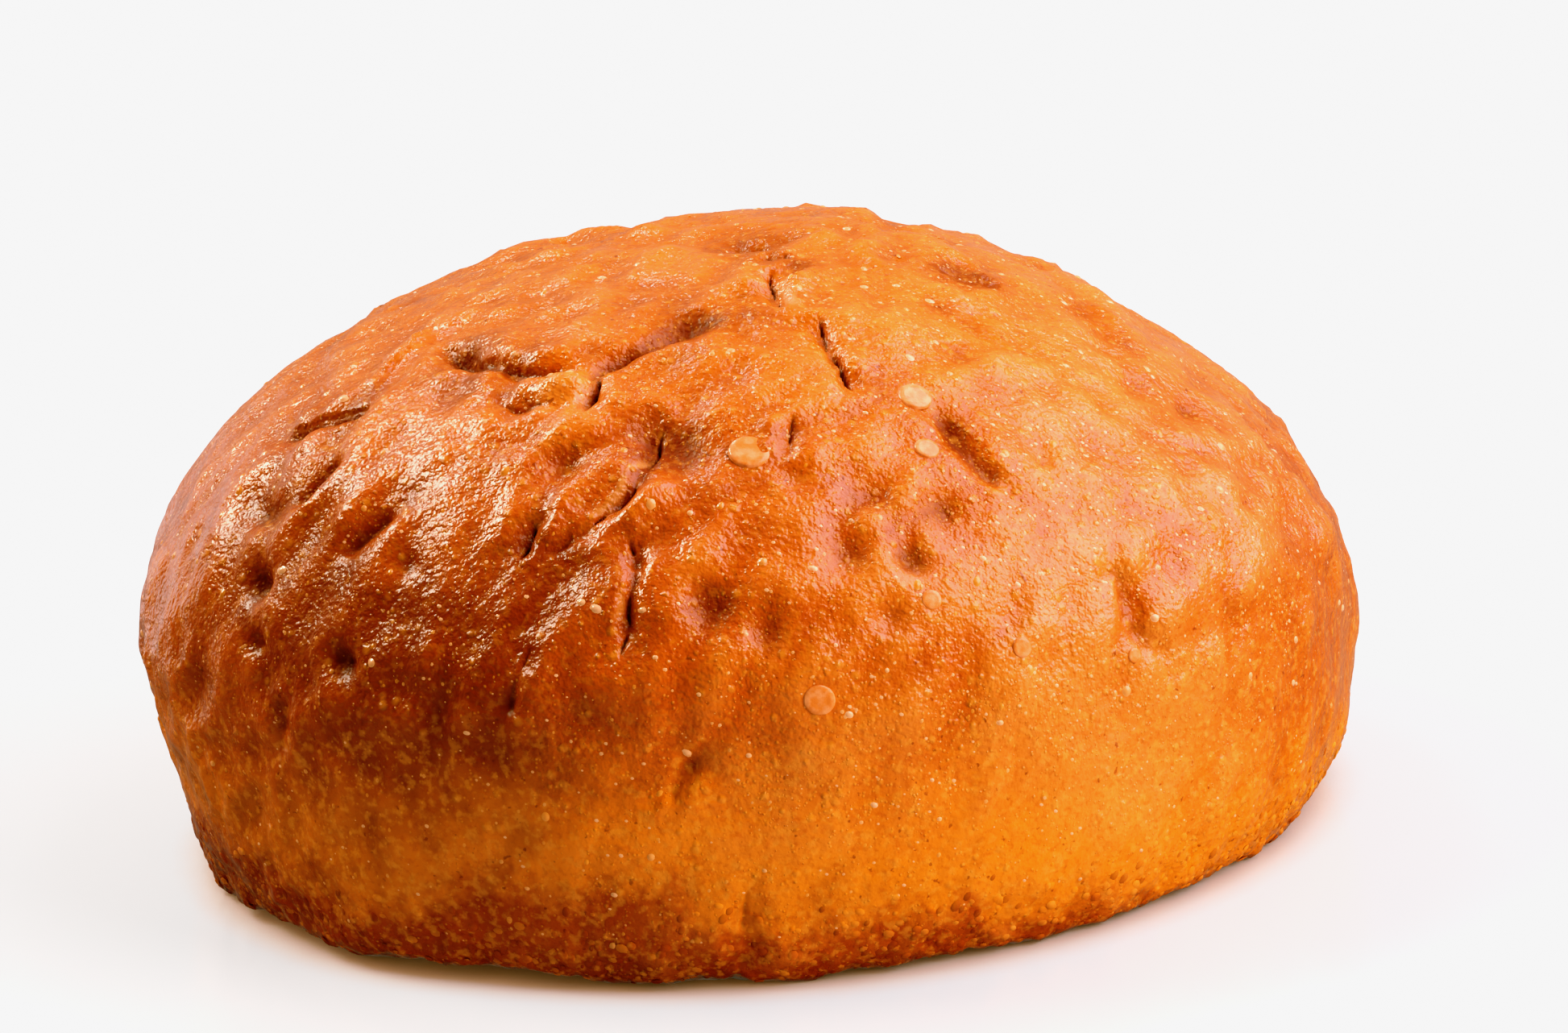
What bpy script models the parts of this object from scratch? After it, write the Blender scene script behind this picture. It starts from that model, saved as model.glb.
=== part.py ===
"""A potato bun: one loaf of soft dough, baked alone on a flat tray.

The bun stands on its flat underside with +Z up. Its front faces -Y, and the
middle of its underside is the origin. Sizes are in metres.
A place on the crust is written as (turn, rise) in degrees, as seen from the
heart of the bun: turn 0 is the front, 90 the right, -90 the left, and rise 0 is
level with the heart, 90 straight up through the crown.
"""

import math
import random
from typing import NamedTuple

import bmesh
import bpy
import numpy as np
from mathutils import Vector, noise

MM = 0.001

# Main sizes of the bun
HALF_WIDTH = 50.0 * MM
HEIGHT = 50.9 * MM
HEART_HEIGHT = 22.4 * MM  # the bun is widest at this height
OVAL = 0.025  # share by which it is wider across and narrower front to back
SKEW = 0.022  # the same along one diagonal, so that the outline is a little twisted
WIDEST_SLOPE = -0.029  # the widest level drops a little towards the right

# The dome above the heart and the wall below it are superellipses that run into
# each other. An exponent of 2 is a plain ellipse, and a higher one is squarer.
# A value that ends in SIDE is what is added at the right, and taken off at the left.
DOME_EXPONENT, DOME_EXPONENT_SIDE = 1.8, -0.375
WALL_EXPONENT, WALL_EXPONENT_SIDE = 4.55, -0.77
DOME_REACH = HEIGHT - HEART_HEIGHT
WALL_REACH, WALL_REACH_SIDE = 30.3 * MM, -2.3 * MM  # depth at which the wall would close
CROWN_LEAN = 8.6 * MM  # how far right of the heart the crown lies
FOOT_LEAN = 2.0 * MM  # how far right of the heart the foot lies
BLEND = 0.13  # sine of the rise over which the wall turns into the dome
EDGE_ROUNDING = 0.10  # sine of the rise over which the edge between them is rounded

# The rim of the underside is rounded, most of all where it lifted off the tray
RIM_ROUNDING = 2.4 * MM
RIM_LIFT = 4.5 * MM
RIM_LIFT_TURN, RIM_LIFT_SPREAD = -33.0, 25.0

# Slow rises and hollows that proving and baking leave in the dough
SWELLS = [(16.0 * MM, 0.7 * MM), (7.0 * MM, 0.3 * MM)]
RIM_LUMP_SIZE = 3.6 * MM
RIM_LUMP_HEIGHT = 0.45 * MM
RIM_LUMP_REACH = 5.0 * MM  # the lumps fade out this far above the tray

CREASE_TAPER = 0.28  # share of its length over which a crease deepens from each end

# The cells of the surface mesh, which are split further where the crust is creased
TOP_CELLS = 30
WALL_ROWS = 13
ROW_CROWDING = 1.35  # above 1, the rows of the wall are closer together near the rim
DOME_START = 22.0  # eccentric angle, in degrees, at which the rows of the wall end
FLATTENING = 0.6  # the crown is about this share of the half width above the heart
CREASE_SPLIT_REACH = 2.4 * MM
CORE_SPLIT_REACH = 1.0 * MM
DENT_SPLIT_SHARE = 0.9
TRAY_CLEARANCE = 0.5 * MM  # nothing this low is split


class Crease(NamedTuple):
    """A groove in the crust, where the skin folded or pulled apart."""

    path: list
    half_width: float
    depth: float
    lip: float = 0.0


class Dent(NamedTuple):
    """A round hollow, or a round bump where the depth is negative."""

    turn: float
    rise: float
    radius: float
    depth: float


FRONT_CREASES = {
    "long fold": Crease(
        [(-66, 41), (-58, 35), (-55, 31.5), (-53, 28), (-60, 25), (-65.5, 22)],
        2.0 * MM, 0.8 * MM, 0.3 * MM,
    ),
    "upper cavity": Crease(
        [(-57, 39.5), (-48, 38), (-42, 37), (-38, 37), (-31, 36), (-26, 37), (-21, 38)],
        2.2 * MM, 1.6 * MM, 0.4 * MM,
    ),
    "second fold": Crease(
        [(-34, 31.5), (-29, 30.5), (-26, 31), (-21, 30.5)],
        2.0 * MM, 0.9 * MM, 0.25 * MM,
    ),
    "long curved crease": Crease(
        [(1, 47), (-4, 46.5), (-8.5, 45.5), (-12, 43), (-17, 39.5), (-19.5, 36.5),
         (-19, 34), (-19, 31), (-20, 27.5)],
        2.0 * MM, 1.7 * MM, 0.35 * MM,
    ),
    "middle crack": Crease(
        [(-8, 29.5), (-9, 25.5), (-9.5, 23), (-10.5, 21), (-12.5, 19), (-15, 17),
         (-18, 15.5), (-20.5, 14)],
        1.8 * MM, 1.5 * MM, 0.3 * MM,
    ),
    "short slit": Crease(
        [(-20.5, 18.5), (-21, 16.5), (-21.5, 14)], 1.4 * MM, 1.0 * MM, 0.25 * MM,
    ),
    "standing crease": Crease(
        [(-11, 17), (-10, 14), (-10, 12), (-10.5, 10), (-10.5, 8), (-11, 5)],
        1.7 * MM, 1.4 * MM, 0.25 * MM,
    ),
    "crown tear": Crease(
        [(14, 61), (12, 54), (11.5, 49.5), (13, 47)], 1.6 * MM, 1.3 * MM, 0.25 * MM,
    ),
    "crown slit": Crease(
        [(17, 45.5), (17, 38.5), (17, 34.5), (17, 30)], 1.5 * MM, 1.3 * MM, 0.25 * MM,
    ),
    "crown groove left": Crease([(3, 78), (16, 75), (30, 75)], 1.8 * MM, 0.7 * MM, 0.2 * MM),
    "crown groove right": Crease([(16, 68), (20, 65), (26, 66)], 1.7 * MM, 0.7 * MM, 0.2 * MM),
    "blister slit": Crease([(8, 29.5), (7, 26), (6.5, 23)], 1.5 * MM, 0.9 * MM, 0.2 * MM),
    "right valley": Crease(
        [(27, 29), (26.5, 25), (27, 21.5), (28, 18), (32, 18.5), (38, 20)],
        2.6 * MM, 1.2 * MM, 0.2 * MM,
    ),
    "right groove": Crease([(36.5, 10), (38.5, 6.5), (38.5, 2), (42.5, -2)], 2.6 * MM, 0.6 * MM),
    "far groove high": Crease([(61.5, 52.5), (64, 47.5), (67.5, 43)], 2.4 * MM, 0.7 * MM),
    "far groove low": Crease([(81.5, 35), (69.5, 29)], 2.4 * MM, 0.7 * MM),
    "left dent": Crease([(-49, 22), (-49.5, 19), (-51, 16)], 2.4 * MM, 1.1 * MM, 0.2 * MM),
    "left groove": Crease([(-38, 18), (-40, 15.5), (-43.5, 12.5)], 2.4 * MM, 0.9 * MM, 0.3 * MM),
    "rim furrow": Crease(
        [(-1, -15), (-1.5, -18.5), (-2, -22), (-2.5, -25)], 1.7 * MM, 0.6 * MM, 0.15 * MM,
    ),
    "left furrow": Crease([(-50.5, -11), (-50.5, -15.5), (-51, -20)], 2.0 * MM, 0.6 * MM),
    "far left furrow": Crease([(-59.5, -6), (-58, -10), (-57.5, -14)], 2.2 * MM, 0.6 * MM),
    "left side fold": Crease(
        [(-82, -5), (-76, -6.5), (-72, -9), (-68, -13)], 2.4 * MM, 0.8 * MM, 0.3 * MM,
    ),
    "bulge edge": Crease([(-18.5, 7), (-19.5, 5), (-20.5, 3), (-21, 0)], 2.0 * MM, 0.6 * MM, 0.2 * MM),
    "horizon notch": Crease([(-134, 53), (-122, 58), (-108, 63)], 2.8 * MM, 0.7 * MM, 0.2 * MM),
}

FRONT_DENTS = {
    "left pit": Dent(-37.5, 4, 1.9 * MM, 1.2 * MM),
    "left pit high": Dent(-51, 9.5, 2.1 * MM, 1.0 * MM),
    "left pit low": Dent(-48.5, 4, 1.9 * MM, 0.8 * MM),
    "brown hollow": Dent(-19, 10.5, 4.4 * MM, 0.35 * MM),
    "front hollow": Dent(-3, 10, 2.8 * MM, 1.1 * MM),
    "front hollow low": Dent(2, 6.5, 2.4 * MM, 0.8 * MM),
    "blister hollow": Dent(-7, 26.5, 3.6 * MM, 1.1 * MM),
    "right hollow tall": Dent(11, 13.5, 2.4 * MM, 0.8 * MM),
    "right hollow high": Dent(15, 18.5, 2.5 * MM, 0.7 * MM),
    "right hollow": Dent(17, 12, 2.4 * MM, 0.7 * MM),
    "right streak": Dent(21, 16, 2.5 * MM, 0.6 * MM),
    "band dimple": Dent(-5, -4, 2.1 * MM, 0.6 * MM),
    "crease valley": Dent(-8, 46.5, 4.0 * MM, 0.9 * MM),
    "fold pit": Dent(-20, 24.5, 1.9 * MM, 0.7 * MM),
    "far left hollow": Dent(-55, 15, 2.5 * MM, 0.7 * MM),
    "far right hollow": Dent(62, 23.5, 2.5 * MM, 0.6 * MM),
    "far right hollow low": Dent(66, 19.5, 2.4 * MM, 0.5 * MM),
    "dome hollow": Dent(46.5, 39, 2.6 * MM, 0.6 * MM),
    "dome hollow low": Dent(37.5, 35, 2.5 * MM, 0.6 * MM),
    "front bump": Dent(-5.5, 9.5, 1.9 * MM, -0.5 * MM),
    "front bump low": Dent(0, 6.5, 1.9 * MM, -0.4 * MM),
    "fold bump": Dent(-27, 23.5, 2.2 * MM, -0.5 * MM),
    "right groove ridge": Dent(44, 2.5, 3.0 * MM, -0.5 * MM),
    "right side hollow": Dent(91, 3, 6.5 * MM, 1.5 * MM),
    "right side bulge": Dent(86, -7, 6.0 * MM, -0.55 * MM),
    "right shoulder hollow": Dent(105, 25, 10.0 * MM, 1.1 * MM),
    "left side bulge": Dent(-76, 1, 5.0 * MM, -0.4 * MM),
    "left shoulder hollow": Dent(-104, 24, 11.0 * MM, 0.35 * MM),
    "shoulder bump": Dent(-120, 51, 7.0 * MM, -0.6 * MM),
}

BACK_TURNS = (100, 262)
BACK_CREASE_COUNT = 9
BACK_DENT_COUNT = 14
BACK_SEED = 11
GOLDEN_SHARE = 0.618  # steps of this share of a range spread places evenly over it


def back_creases():
    """Creases like those at the front, over the side that faces away."""
    draw = random.Random(BACK_SEED)
    step = (BACK_TURNS[1] - BACK_TURNS[0]) / BACK_CREASE_COUNT
    creases = []
    for i in range(BACK_CREASE_COUNT):
        turn = BACK_TURNS[0] + step * (i + draw.random())
        rise = 14 + 34 * (i * GOLDEN_SHARE % 1) + draw.uniform(-3, 3)
        heading = draw.uniform(0, math.tau)
        path = [(turn, rise)]
        for _ in range(draw.randint(2, 4)):
            heading += draw.uniform(-0.6, 0.6)
            turn += 5.5 * math.cos(heading)
            rise += 4.5 * math.sin(heading)
            path.append((turn, rise))
        depth = draw.uniform(0.7, 1.6) * MM
        creases.append(Crease(path, draw.uniform(1.6, 2.3) * MM, depth, 0.2 * depth))
    return creases


def back_dents():
    """Hollows like those at the front, over the side that faces away."""
    draw = random.Random(BACK_SEED + 1)
    step = (BACK_TURNS[1] - BACK_TURNS[0]) / BACK_DENT_COUNT
    dents = []
    for i in range(BACK_DENT_COUNT):
        turn = BACK_TURNS[0] + step * (i + draw.random())
        rise = -4 + 44 * ((i * GOLDEN_SHARE + 0.3) % 1)
        radius = draw.uniform(1.9, 3.4) * MM
        dents.append(Dent(turn, rise, radius, draw.uniform(0.25, 0.4) * radius))
    return dents


def ease(t):
    """A smooth step from 0 to 1 as t runs from 0 to 1."""
    t = np.clip(t, 0, 1)
    return t * t * (3 - 2 * t)


def ways_of(turns, rises):
    """Unit vectors from the heart, one row for each turn and rise."""
    around = np.radians(np.asarray(turns, float) - 90)
    up = np.radians(np.asarray(rises, float))
    return np.stack([np.cos(up) * np.cos(around), np.cos(up) * np.sin(around), np.sin(up)], -1)


def unit(vectors):
    """The vectors at a length of 1."""
    return vectors / np.linalg.norm(vectors, axis=1)[:, None]


def sharp_reach(ways):
    """Distance from the heart to the dome or the wall along each unit vector, with a sharp edge."""
    above = ways[:, 2] - WIDEST_SLOPE * ways[:, 0]
    dome = ease(above / (2 * BLEND) + 0.5)
    wall = 1 - dome
    lean = dome * CROWN_LEAN / DOME_REACH - wall * FOOT_LEAN / HEART_HEIGHT
    across = ways[:, 0] - lean * above
    plan = np.maximum(np.hypot(across, ways[:, 1]), 1e-12)
    cosine, sine = across / plan, ways[:, 1] / plan
    half_width = HALF_WIDTH * (1 + OVAL * (2 * cosine**2 - 1) + SKEW * 2 * sine * cosine)
    dome_exponent = DOME_EXPONENT + DOME_EXPONENT_SIDE * cosine
    wall_exponent = WALL_EXPONENT + WALL_EXPONENT_SIDE * cosine
    exponent = dome * dome_exponent + wall * wall_exponent
    reach = dome * DOME_REACH + wall * (WALL_REACH + WALL_REACH_SIDE * cosine)
    return ((plan / half_width) ** exponent + (np.abs(above) / reach) ** exponent) ** (-1 / exponent)


def skin_reach(ways):
    """Distance from the heart to the skin along each unit vector, with the edge rounded."""
    up = np.array([0, 0, EDGE_ROUNDING])
    return (2 * sharp_reach(ways) + sharp_reach(unit(ways + up)) + sharp_reach(unit(ways - up))) / 4


def tray_reach(ways):
    """Distance from the heart to the tray along each unit vector, very far where it points up."""
    return HEART_HEIGHT / np.maximum(-ways[:, 2], 1e-6)


def rim_rounding(ways):
    """How far from the rim, along the ways, the wall starts to round into the underside."""
    turns = np.degrees(np.arctan2(ways[:, 1], ways[:, 0])) + 90
    off = (turns - RIM_LIFT_TURN + 180) % 360 - 180
    return RIM_ROUNDING + RIM_LIFT * np.exp(-((off / RIM_LIFT_SPREAD) ** 2))


def smooth_points(ways):
    """Points of the smooth bun along unit vectors from its heart."""
    skin, tray, rounding = skin_reach(ways), tray_reach(ways), rim_rounding(ways)
    overlap = np.maximum(rounding - np.abs(skin - tray), 0) / rounding
    reach = np.minimum(skin, tray) - overlap**2 * rounding / 4
    points = ways * reach[:, None] + np.array([0, 0, HEART_HEIGHT])
    points[skin - tray >= rounding, 2] = 0
    return points


def rim_rises(turns):
    """The rise at which the flat underside ends, for each turn."""
    low, high = np.full(len(turns), -60.0), np.zeros(len(turns))
    for _ in range(30):
        middle = (low + high) / 2
        ways = ways_of(turns, middle)
        under = skin_reach(ways) - tray_reach(ways) > rim_rounding(ways)
        low, high = np.where(under, middle, low), np.where(under, high, middle)
    return low


def outward(ways):
    """Unit normals of the smooth bun, from two small steps over its skin."""
    step = 0.002
    side = unit(np.cross(ways, np.array([0.3, 0.2, 0.93])))
    here = smooth_points(ways)
    first, second = (
        smooth_points(unit(ways + step * direction)) - here
        for direction in (side, np.cross(ways, side))
    )
    normals = unit(np.cross(first, second))
    return normals * np.sign(np.sum(normals * ways, axis=1))[:, None]


def curve_through(path, steps=6):
    """Points of the smooth bun along a curve through the places of a path."""
    places = np.array([path[0], *path, path[-1]], float)
    rows = []
    for before, start, end, after in zip(places, places[1:], places[2:], places[3:]):
        for k in range(steps):
            t = k / steps
            rows.append(
                (2 * t**3 - 3 * t**2 + 1) * start
                + (t**3 - 2 * t**2 + t) * (end - before) / 2
                + (3 * t**2 - 2 * t**3) * end
                + (t**3 - t**2) * (after - start) / 2
            )
    turns, rises = np.array([*rows, places[-1]]).T
    return smooth_points(ways_of(turns, rises))


def distance_to_line(points, line):
    """(distance from each point to a line of points, share of the line's length there)."""
    nearest = np.full(len(points), np.inf)
    share = np.zeros(len(points))
    walked = np.concatenate([[0], np.cumsum(np.linalg.norm(np.diff(line, axis=0), axis=1))])
    for i, run in enumerate(np.diff(line, axis=0)):
        t = np.clip((points - line[i]) @ run / (run @ run), 0, 1)
        away = np.linalg.norm(points - line[i] - t[:, None] * run, axis=1)
        closer = away < nearest
        nearest[closer] = away[closer]
        share[closer] = (walked[i] + t * (walked[i + 1] - walked[i]))[closer] / walked[-1]
    return nearest, share


def crease_relief(points, crease):
    """Height that a crease adds to the skin at each point, mostly below zero."""
    away, share = distance_to_line(points, curve_through(crease.path))
    fade = ease(np.minimum(share, 1 - share) / CREASE_TAPER)
    groove = ease(1 - away / crease.half_width)
    rim = np.exp(-(((away / crease.half_width - 1.3) / 0.5) ** 2))
    return fade * (crease.lip * rim - crease.depth * groove)


def dent_relief(points, dent):
    """Height that a round hollow or bump adds to the skin at each point."""
    centre = smooth_points(ways_of([dent.turn], [dent.rise]))
    away = np.linalg.norm(points - centre, axis=1) / dent.radius
    return -dent.depth * np.exp(-1.6 * away**2)


def swell_relief(points):
    """Slow rises and hollows of the whole loaf."""
    relief = np.zeros(len(points))
    for size, height in SWELLS:
        relief += [height * noise.noise(Vector(p) / size) for p in points]
    return relief


def rim_relief(points):
    """Small lumps along the rim, where the dough spread over the tray."""
    lumps = np.array([noise.noise(Vector((*p[:2], 0)) / RIM_LUMP_SIZE) for p in points])
    return RIM_LUMP_HEIGHT * lumps * ease(1 - points[:, 2] / RIM_LUMP_REACH)


def crust_points(ways, creases, dents):
    """Points of the finished crust along unit vectors from the heart."""
    points = smooth_points(ways)
    relief = swell_relief(points) + rim_relief(points)
    for crease in creases:
        relief += crease_relief(points, crease)
    for dent in dents:
        relief += dent_relief(points, dent)
    on_tray = points[:, 2] < 1e-7
    points += outward(ways) * relief[:, None]
    points[on_tray, 2] = 0
    points[:, 2] = np.maximum(points[:, 2], 0)
    return points


def box_of_cells(cells, rows):
    """A closed box with cells by cells squares on top, rows of them round it and one face below."""
    bm = bmesh.new()
    bmesh.ops.create_cube(bm, size=2)
    upright = [e for e in bm.edges if abs(e.verts[0].co.z - e.verts[1].co.z) > 1]
    bmesh.ops.subdivide_edges(bm, edges=upright, cuts=rows - 1, use_grid_fill=True)
    level = [e for e in bm.edges if abs(e.verts[0].co.z - e.verts[1].co.z) < 1e-6]
    bmesh.ops.subdivide_edges(bm, edges=level, cuts=cells - 1, use_grid_fill=True)
    under = [f for f in bm.faces if f.normal.z < -0.5]
    bmesh.ops.dissolve_faces(bm, faces=under, use_verts=True)
    return bm


def place(bm, points):
    """Gives each vertex its point."""
    for vertex, point in zip(bm.verts, points):
        vertex.co = point


def box_ways(bm):
    """The unit vector from the heart that each vertex of the box stands for."""
    box = np.array([v.co for v in bm.verts])
    ring = np.maximum(np.maximum(np.abs(box[:, 0]), np.abs(box[:, 1])), 1e-9)
    eighth = math.pi / 4
    around = np.arctan2(np.tan(eighth * box[:, 1] / ring), np.tan(eighth * box[:, 0] / ring))
    turns = np.degrees(around) + 90
    rim = np.degrees(np.arctan(np.tan(np.radians(rim_rises(turns))) / FLATTENING))
    in_wall = rim + (DOME_START - rim) * ((box[:, 2] + 1) / 2) ** ROW_CROWDING
    in_dome = DOME_START + (90 - DOME_START) * (1 - ring)
    eccentric = np.radians(np.where(box[:, 2] > 1 - 1e-6, in_dome, in_wall))
    rises = np.degrees(np.arctan2(FLATTENING * np.sin(eccentric), np.cos(eccentric)))
    return ways_of(turns, rises)


def ways_to(bm):
    """The unit vector from the heart to each vertex."""
    return unit(np.array([v.co for v in bm.verts]) - np.array([0, 0, HEART_HEIGHT]))


def split_cells(bm, near):
    """Halves the edges that have an end near a feature, and puts the new points on the smooth bun."""
    heights = np.array([v.co.z for v in bm.verts])
    near = near & (heights > TRAY_CLEARANCE)
    bm.verts.index_update()
    edges = [e for e in bm.edges if near[e.verts[0].index] or near[e.verts[1].index]]
    bmesh.ops.subdivide_edges(bm, edges=edges, cuts=1, use_grid_fill=True)
    place(bm, smooth_points(ways_to(bm)))


def near_creases(bm, creases, reach):
    """Whether each vertex is within reach of a crease."""
    points = np.array([v.co for v in bm.verts])
    away = [distance_to_line(points, curve_through(crease.path))[0] for crease in creases]
    return np.min(away, axis=0) < reach


def in_dents(bm, dents):
    """Whether each vertex is in a dent or on a bump."""
    points = np.array([v.co for v in bm.verts])
    near = np.zeros(len(points), bool)
    for dent in dents:
        centre = smooth_points(ways_of([dent.turn], [dent.rise]))
        near |= np.linalg.norm(points - centre, axis=1) < DENT_SPLIT_SHARE * dent.radius
    return near


def centred(points):
    """The points moved so that the middle of their box is over the origin."""
    middle = (points.min(0) + points.max(0)) / 2
    return points - np.array([middle[0], middle[1], 0])


def crust_material():
    """Glossy golden-brown crust."""
    material = bpy.data.materials.new("crust")
    material.use_nodes = True
    shader = material.node_tree.nodes["Principled BSDF"]
    shader.inputs["Base Color"].default_value = (0.60, 0.17, 0.025, 1)
    shader.inputs["Roughness"].default_value = 0.4
    shader.inputs["Metallic"].default_value = 0
    return material


def crust_mesh():
    """The whole bun as one closed mesh."""
    creases = [*FRONT_CREASES.values(), *back_creases()]
    dents = [*FRONT_DENTS.values(), *back_dents()]
    bm = box_of_cells(TOP_CELLS, WALL_ROWS)
    place(bm, smooth_points(box_ways(bm)))
    split_cells(bm, near_creases(bm, creases, CREASE_SPLIT_REACH) | in_dents(bm, dents))
    split_cells(bm, near_creases(bm, creases, CORE_SPLIT_REACH))
    bmesh.ops.triangulate(bm, faces=[f for f in bm.faces if len(f.verts) < TOP_CELLS])
    place(bm, centred(crust_points(ways_to(bm), creases, dents)))
    bmesh.ops.recalc_face_normals(bm, faces=bm.faces[:])
    mesh = bpy.data.meshes.new("bun")
    bm.to_mesh(mesh)
    bm.free()
    mesh.shade_smooth()
    mesh.materials.append(crust_material())
    return mesh


def build():
    """Models the bun in a collection of its own."""
    for old in list(bpy.data.objects):
        bpy.data.objects.remove(old)
    bun = bpy.data.objects.new("bun", crust_mesh())
    collection = bpy.data.collections.new("potato_bun")
    bpy.context.scene.collection.children.link(collection)
    collection.objects.link(bun)
    bun.data.calc_loop_triangles()
    print("bun:", len(bun.data.loop_triangles), "triangles")


build()
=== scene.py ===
# %% [markdown]
# # A potato bun
#
# This lesson dresses one part: a soft, domed potato bun, baked alone on a flat tray. The solid of the bun
# comes from the frame. It has the true form and size, but its skin is coarse and plain. Here the crust is
# worked again in a fine mesh of exactly the same form, and then gets what makes it look baked: torn
# creases, leathery skin, blisters and hundreds of tiny bubbles, and the colours from pale gold to deep
# brown.
#
# All lengths are in metres, +Z is up and the front of the bun faces -Y.

# %% Load the frame
import math
import random
from typing import NamedTuple

import bmesh
import bpy
import numpy as np
from mathutils import Matrix, Vector, noise
from mathutils.bvhtree import BVHTree


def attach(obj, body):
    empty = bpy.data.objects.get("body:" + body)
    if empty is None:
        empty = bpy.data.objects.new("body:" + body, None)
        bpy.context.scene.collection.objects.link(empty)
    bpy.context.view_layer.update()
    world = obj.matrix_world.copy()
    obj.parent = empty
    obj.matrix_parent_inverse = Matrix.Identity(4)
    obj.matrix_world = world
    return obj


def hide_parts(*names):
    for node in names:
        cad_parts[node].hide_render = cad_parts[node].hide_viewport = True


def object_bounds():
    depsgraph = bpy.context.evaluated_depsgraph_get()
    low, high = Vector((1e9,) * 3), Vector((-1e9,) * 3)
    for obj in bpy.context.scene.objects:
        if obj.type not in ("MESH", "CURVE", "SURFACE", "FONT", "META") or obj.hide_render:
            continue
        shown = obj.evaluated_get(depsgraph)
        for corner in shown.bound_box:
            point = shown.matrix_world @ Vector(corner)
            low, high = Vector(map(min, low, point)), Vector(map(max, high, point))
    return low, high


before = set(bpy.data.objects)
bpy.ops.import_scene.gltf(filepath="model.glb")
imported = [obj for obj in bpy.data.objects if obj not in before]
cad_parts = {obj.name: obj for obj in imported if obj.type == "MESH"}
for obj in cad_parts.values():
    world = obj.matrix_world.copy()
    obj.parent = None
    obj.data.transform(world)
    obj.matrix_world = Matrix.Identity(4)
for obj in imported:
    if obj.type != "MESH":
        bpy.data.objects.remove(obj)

MM = 0.001
scene = bpy.context.scene
SOLID_BOX = [list(corner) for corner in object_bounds()]
print("the solid's box in mm:", [[round(v / MM, 2) for v in corner] for corner in SOLID_BOX])

# %% [markdown]
# ## The camera
#
# The picture was taken with a long lens from a little above the table, and the camera was held slightly
# askew, so the table seems to climb to the right. A long lens keeps the bun from looking swollen at the
# front. The camera is aimed at a point inside the bun, moved straight back from it, and then rolled about
# its own line of sight.

# %% Camera
LENS = 90
SENSOR_WIDTH = 36
LOOK_FROM_ABOVE = math.radians(14)
ROLL = math.radians(-3.6)
DISTANCE = 336 * MM
NEAREST_SEEN = 10 * MM
AIM = Vector((2.95, 0.07, 25.2)) * MM


def add_camera():
    """A camera in front of the bun, a little above it and rolled."""
    data = bpy.data.cameras.new("camera")
    data.lens = LENS
    data.sensor_width = SENSOR_WIDTH
    data.clip_start = NEAREST_SEEN
    camera = bpy.data.objects.new("camera", data)
    scene.collection.objects.link(camera)
    back = Vector((0, -math.cos(LOOK_FROM_ABOVE), math.sin(LOOK_FROM_ABOVE)))
    aimed = (-back).to_track_quat("-Z", "Y").to_matrix().to_4x4()
    rolled = aimed @ Matrix.Rotation(ROLL, 4, "Z")
    camera.matrix_world = Matrix.Translation(AIM + DISTANCE * back) @ rolled
    scene.camera = camera
    return camera


camera = add_camera()
print("camera at", [round(v, 3) for v in camera.matrix_world.translation])

# %% [markdown]
# ## The table and the room
#
# Everything round the bun is nearly white. One sheet does for both table and backdrop: it lies flat under
# the bun and then sweeps up behind it, so there is no hard line. It is a profile of a few points, widened
# into a strip. The sheet glows a little, so that it stays white under lamps that suit the bun. Ambient
# occlusion, which says how open a place is, takes the glow away close to the bun, and what is left there is
# warm with light that the crust throws down.

# %% Table and backdrop
TABLE_FRONT = -1.2
TABLE_BACK = 0.34
SWEEP_RADIUS = 0.22
BACKDROP_TOP = 1.4
TABLE_HALF_WIDTH = 1.6
SWEEP_STEPS = 24
WHITE = (0.30, 0.297, 0.303, 1)
GLOW = (1.0, 0.985, 1.0, 1)
GLOW_BESIDE = (1.0, 0.55, 0.36, 1)
GLOW_CLEARANCE = 6 * MM
GLOW_SHARES = (-0.03, 0.5)
TINT_SHARES = (0.3, 0.7)
GLOW_STRENGTH = 0.54
TABLE_ROUGHNESS = 0.16
# The sockets of a Mix node that mixes colours.
MIX_SHARE, MIX_FIRST, MIX_SECOND, MIX_RESULT = 0, 6, 7, 2


def white_material():
    """A white that glows a little away from the bun, as in a picture taken with much light."""
    material = bpy.data.materials.new("white table")
    material.use_nodes = True
    tree = material.node_tree
    shader = tree.nodes["Principled BSDF"]
    shader.inputs["Base Color"].default_value = WHITE
    shader.inputs["Roughness"].default_value = TABLE_ROUGHNESS
    open_share = tree.nodes.new("ShaderNodeAmbientOcclusion")
    open_share.inputs["Distance"].default_value = GLOW_CLEARANCE
    strength, whiteness = (tree.nodes.new("ShaderNodeMapRange") for _ in range(2))
    for node, limits in ((strength, (*GLOW_SHARES, GLOW_STRENGTH)), (whiteness, (*TINT_SHARES, 1))):
        for socket, value in zip(("From Min", "From Max", "To Max"), limits):
            node.inputs[socket].default_value = value
        tree.links.new(open_share.outputs["AO"], node.inputs["Value"])
    tint = tree.nodes.new("ShaderNodeMix")
    tint.data_type = "RGBA"
    tint.inputs[MIX_FIRST].default_value = GLOW_BESIDE
    tint.inputs[MIX_SECOND].default_value = GLOW
    tree.links.new(whiteness.outputs["Result"], tint.inputs[MIX_SHARE])
    tree.links.new(strength.outputs["Result"], shader.inputs["Emission Strength"])
    tree.links.new(tint.outputs[MIX_RESULT], shader.inputs["Emission Color"])
    return material


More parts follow.
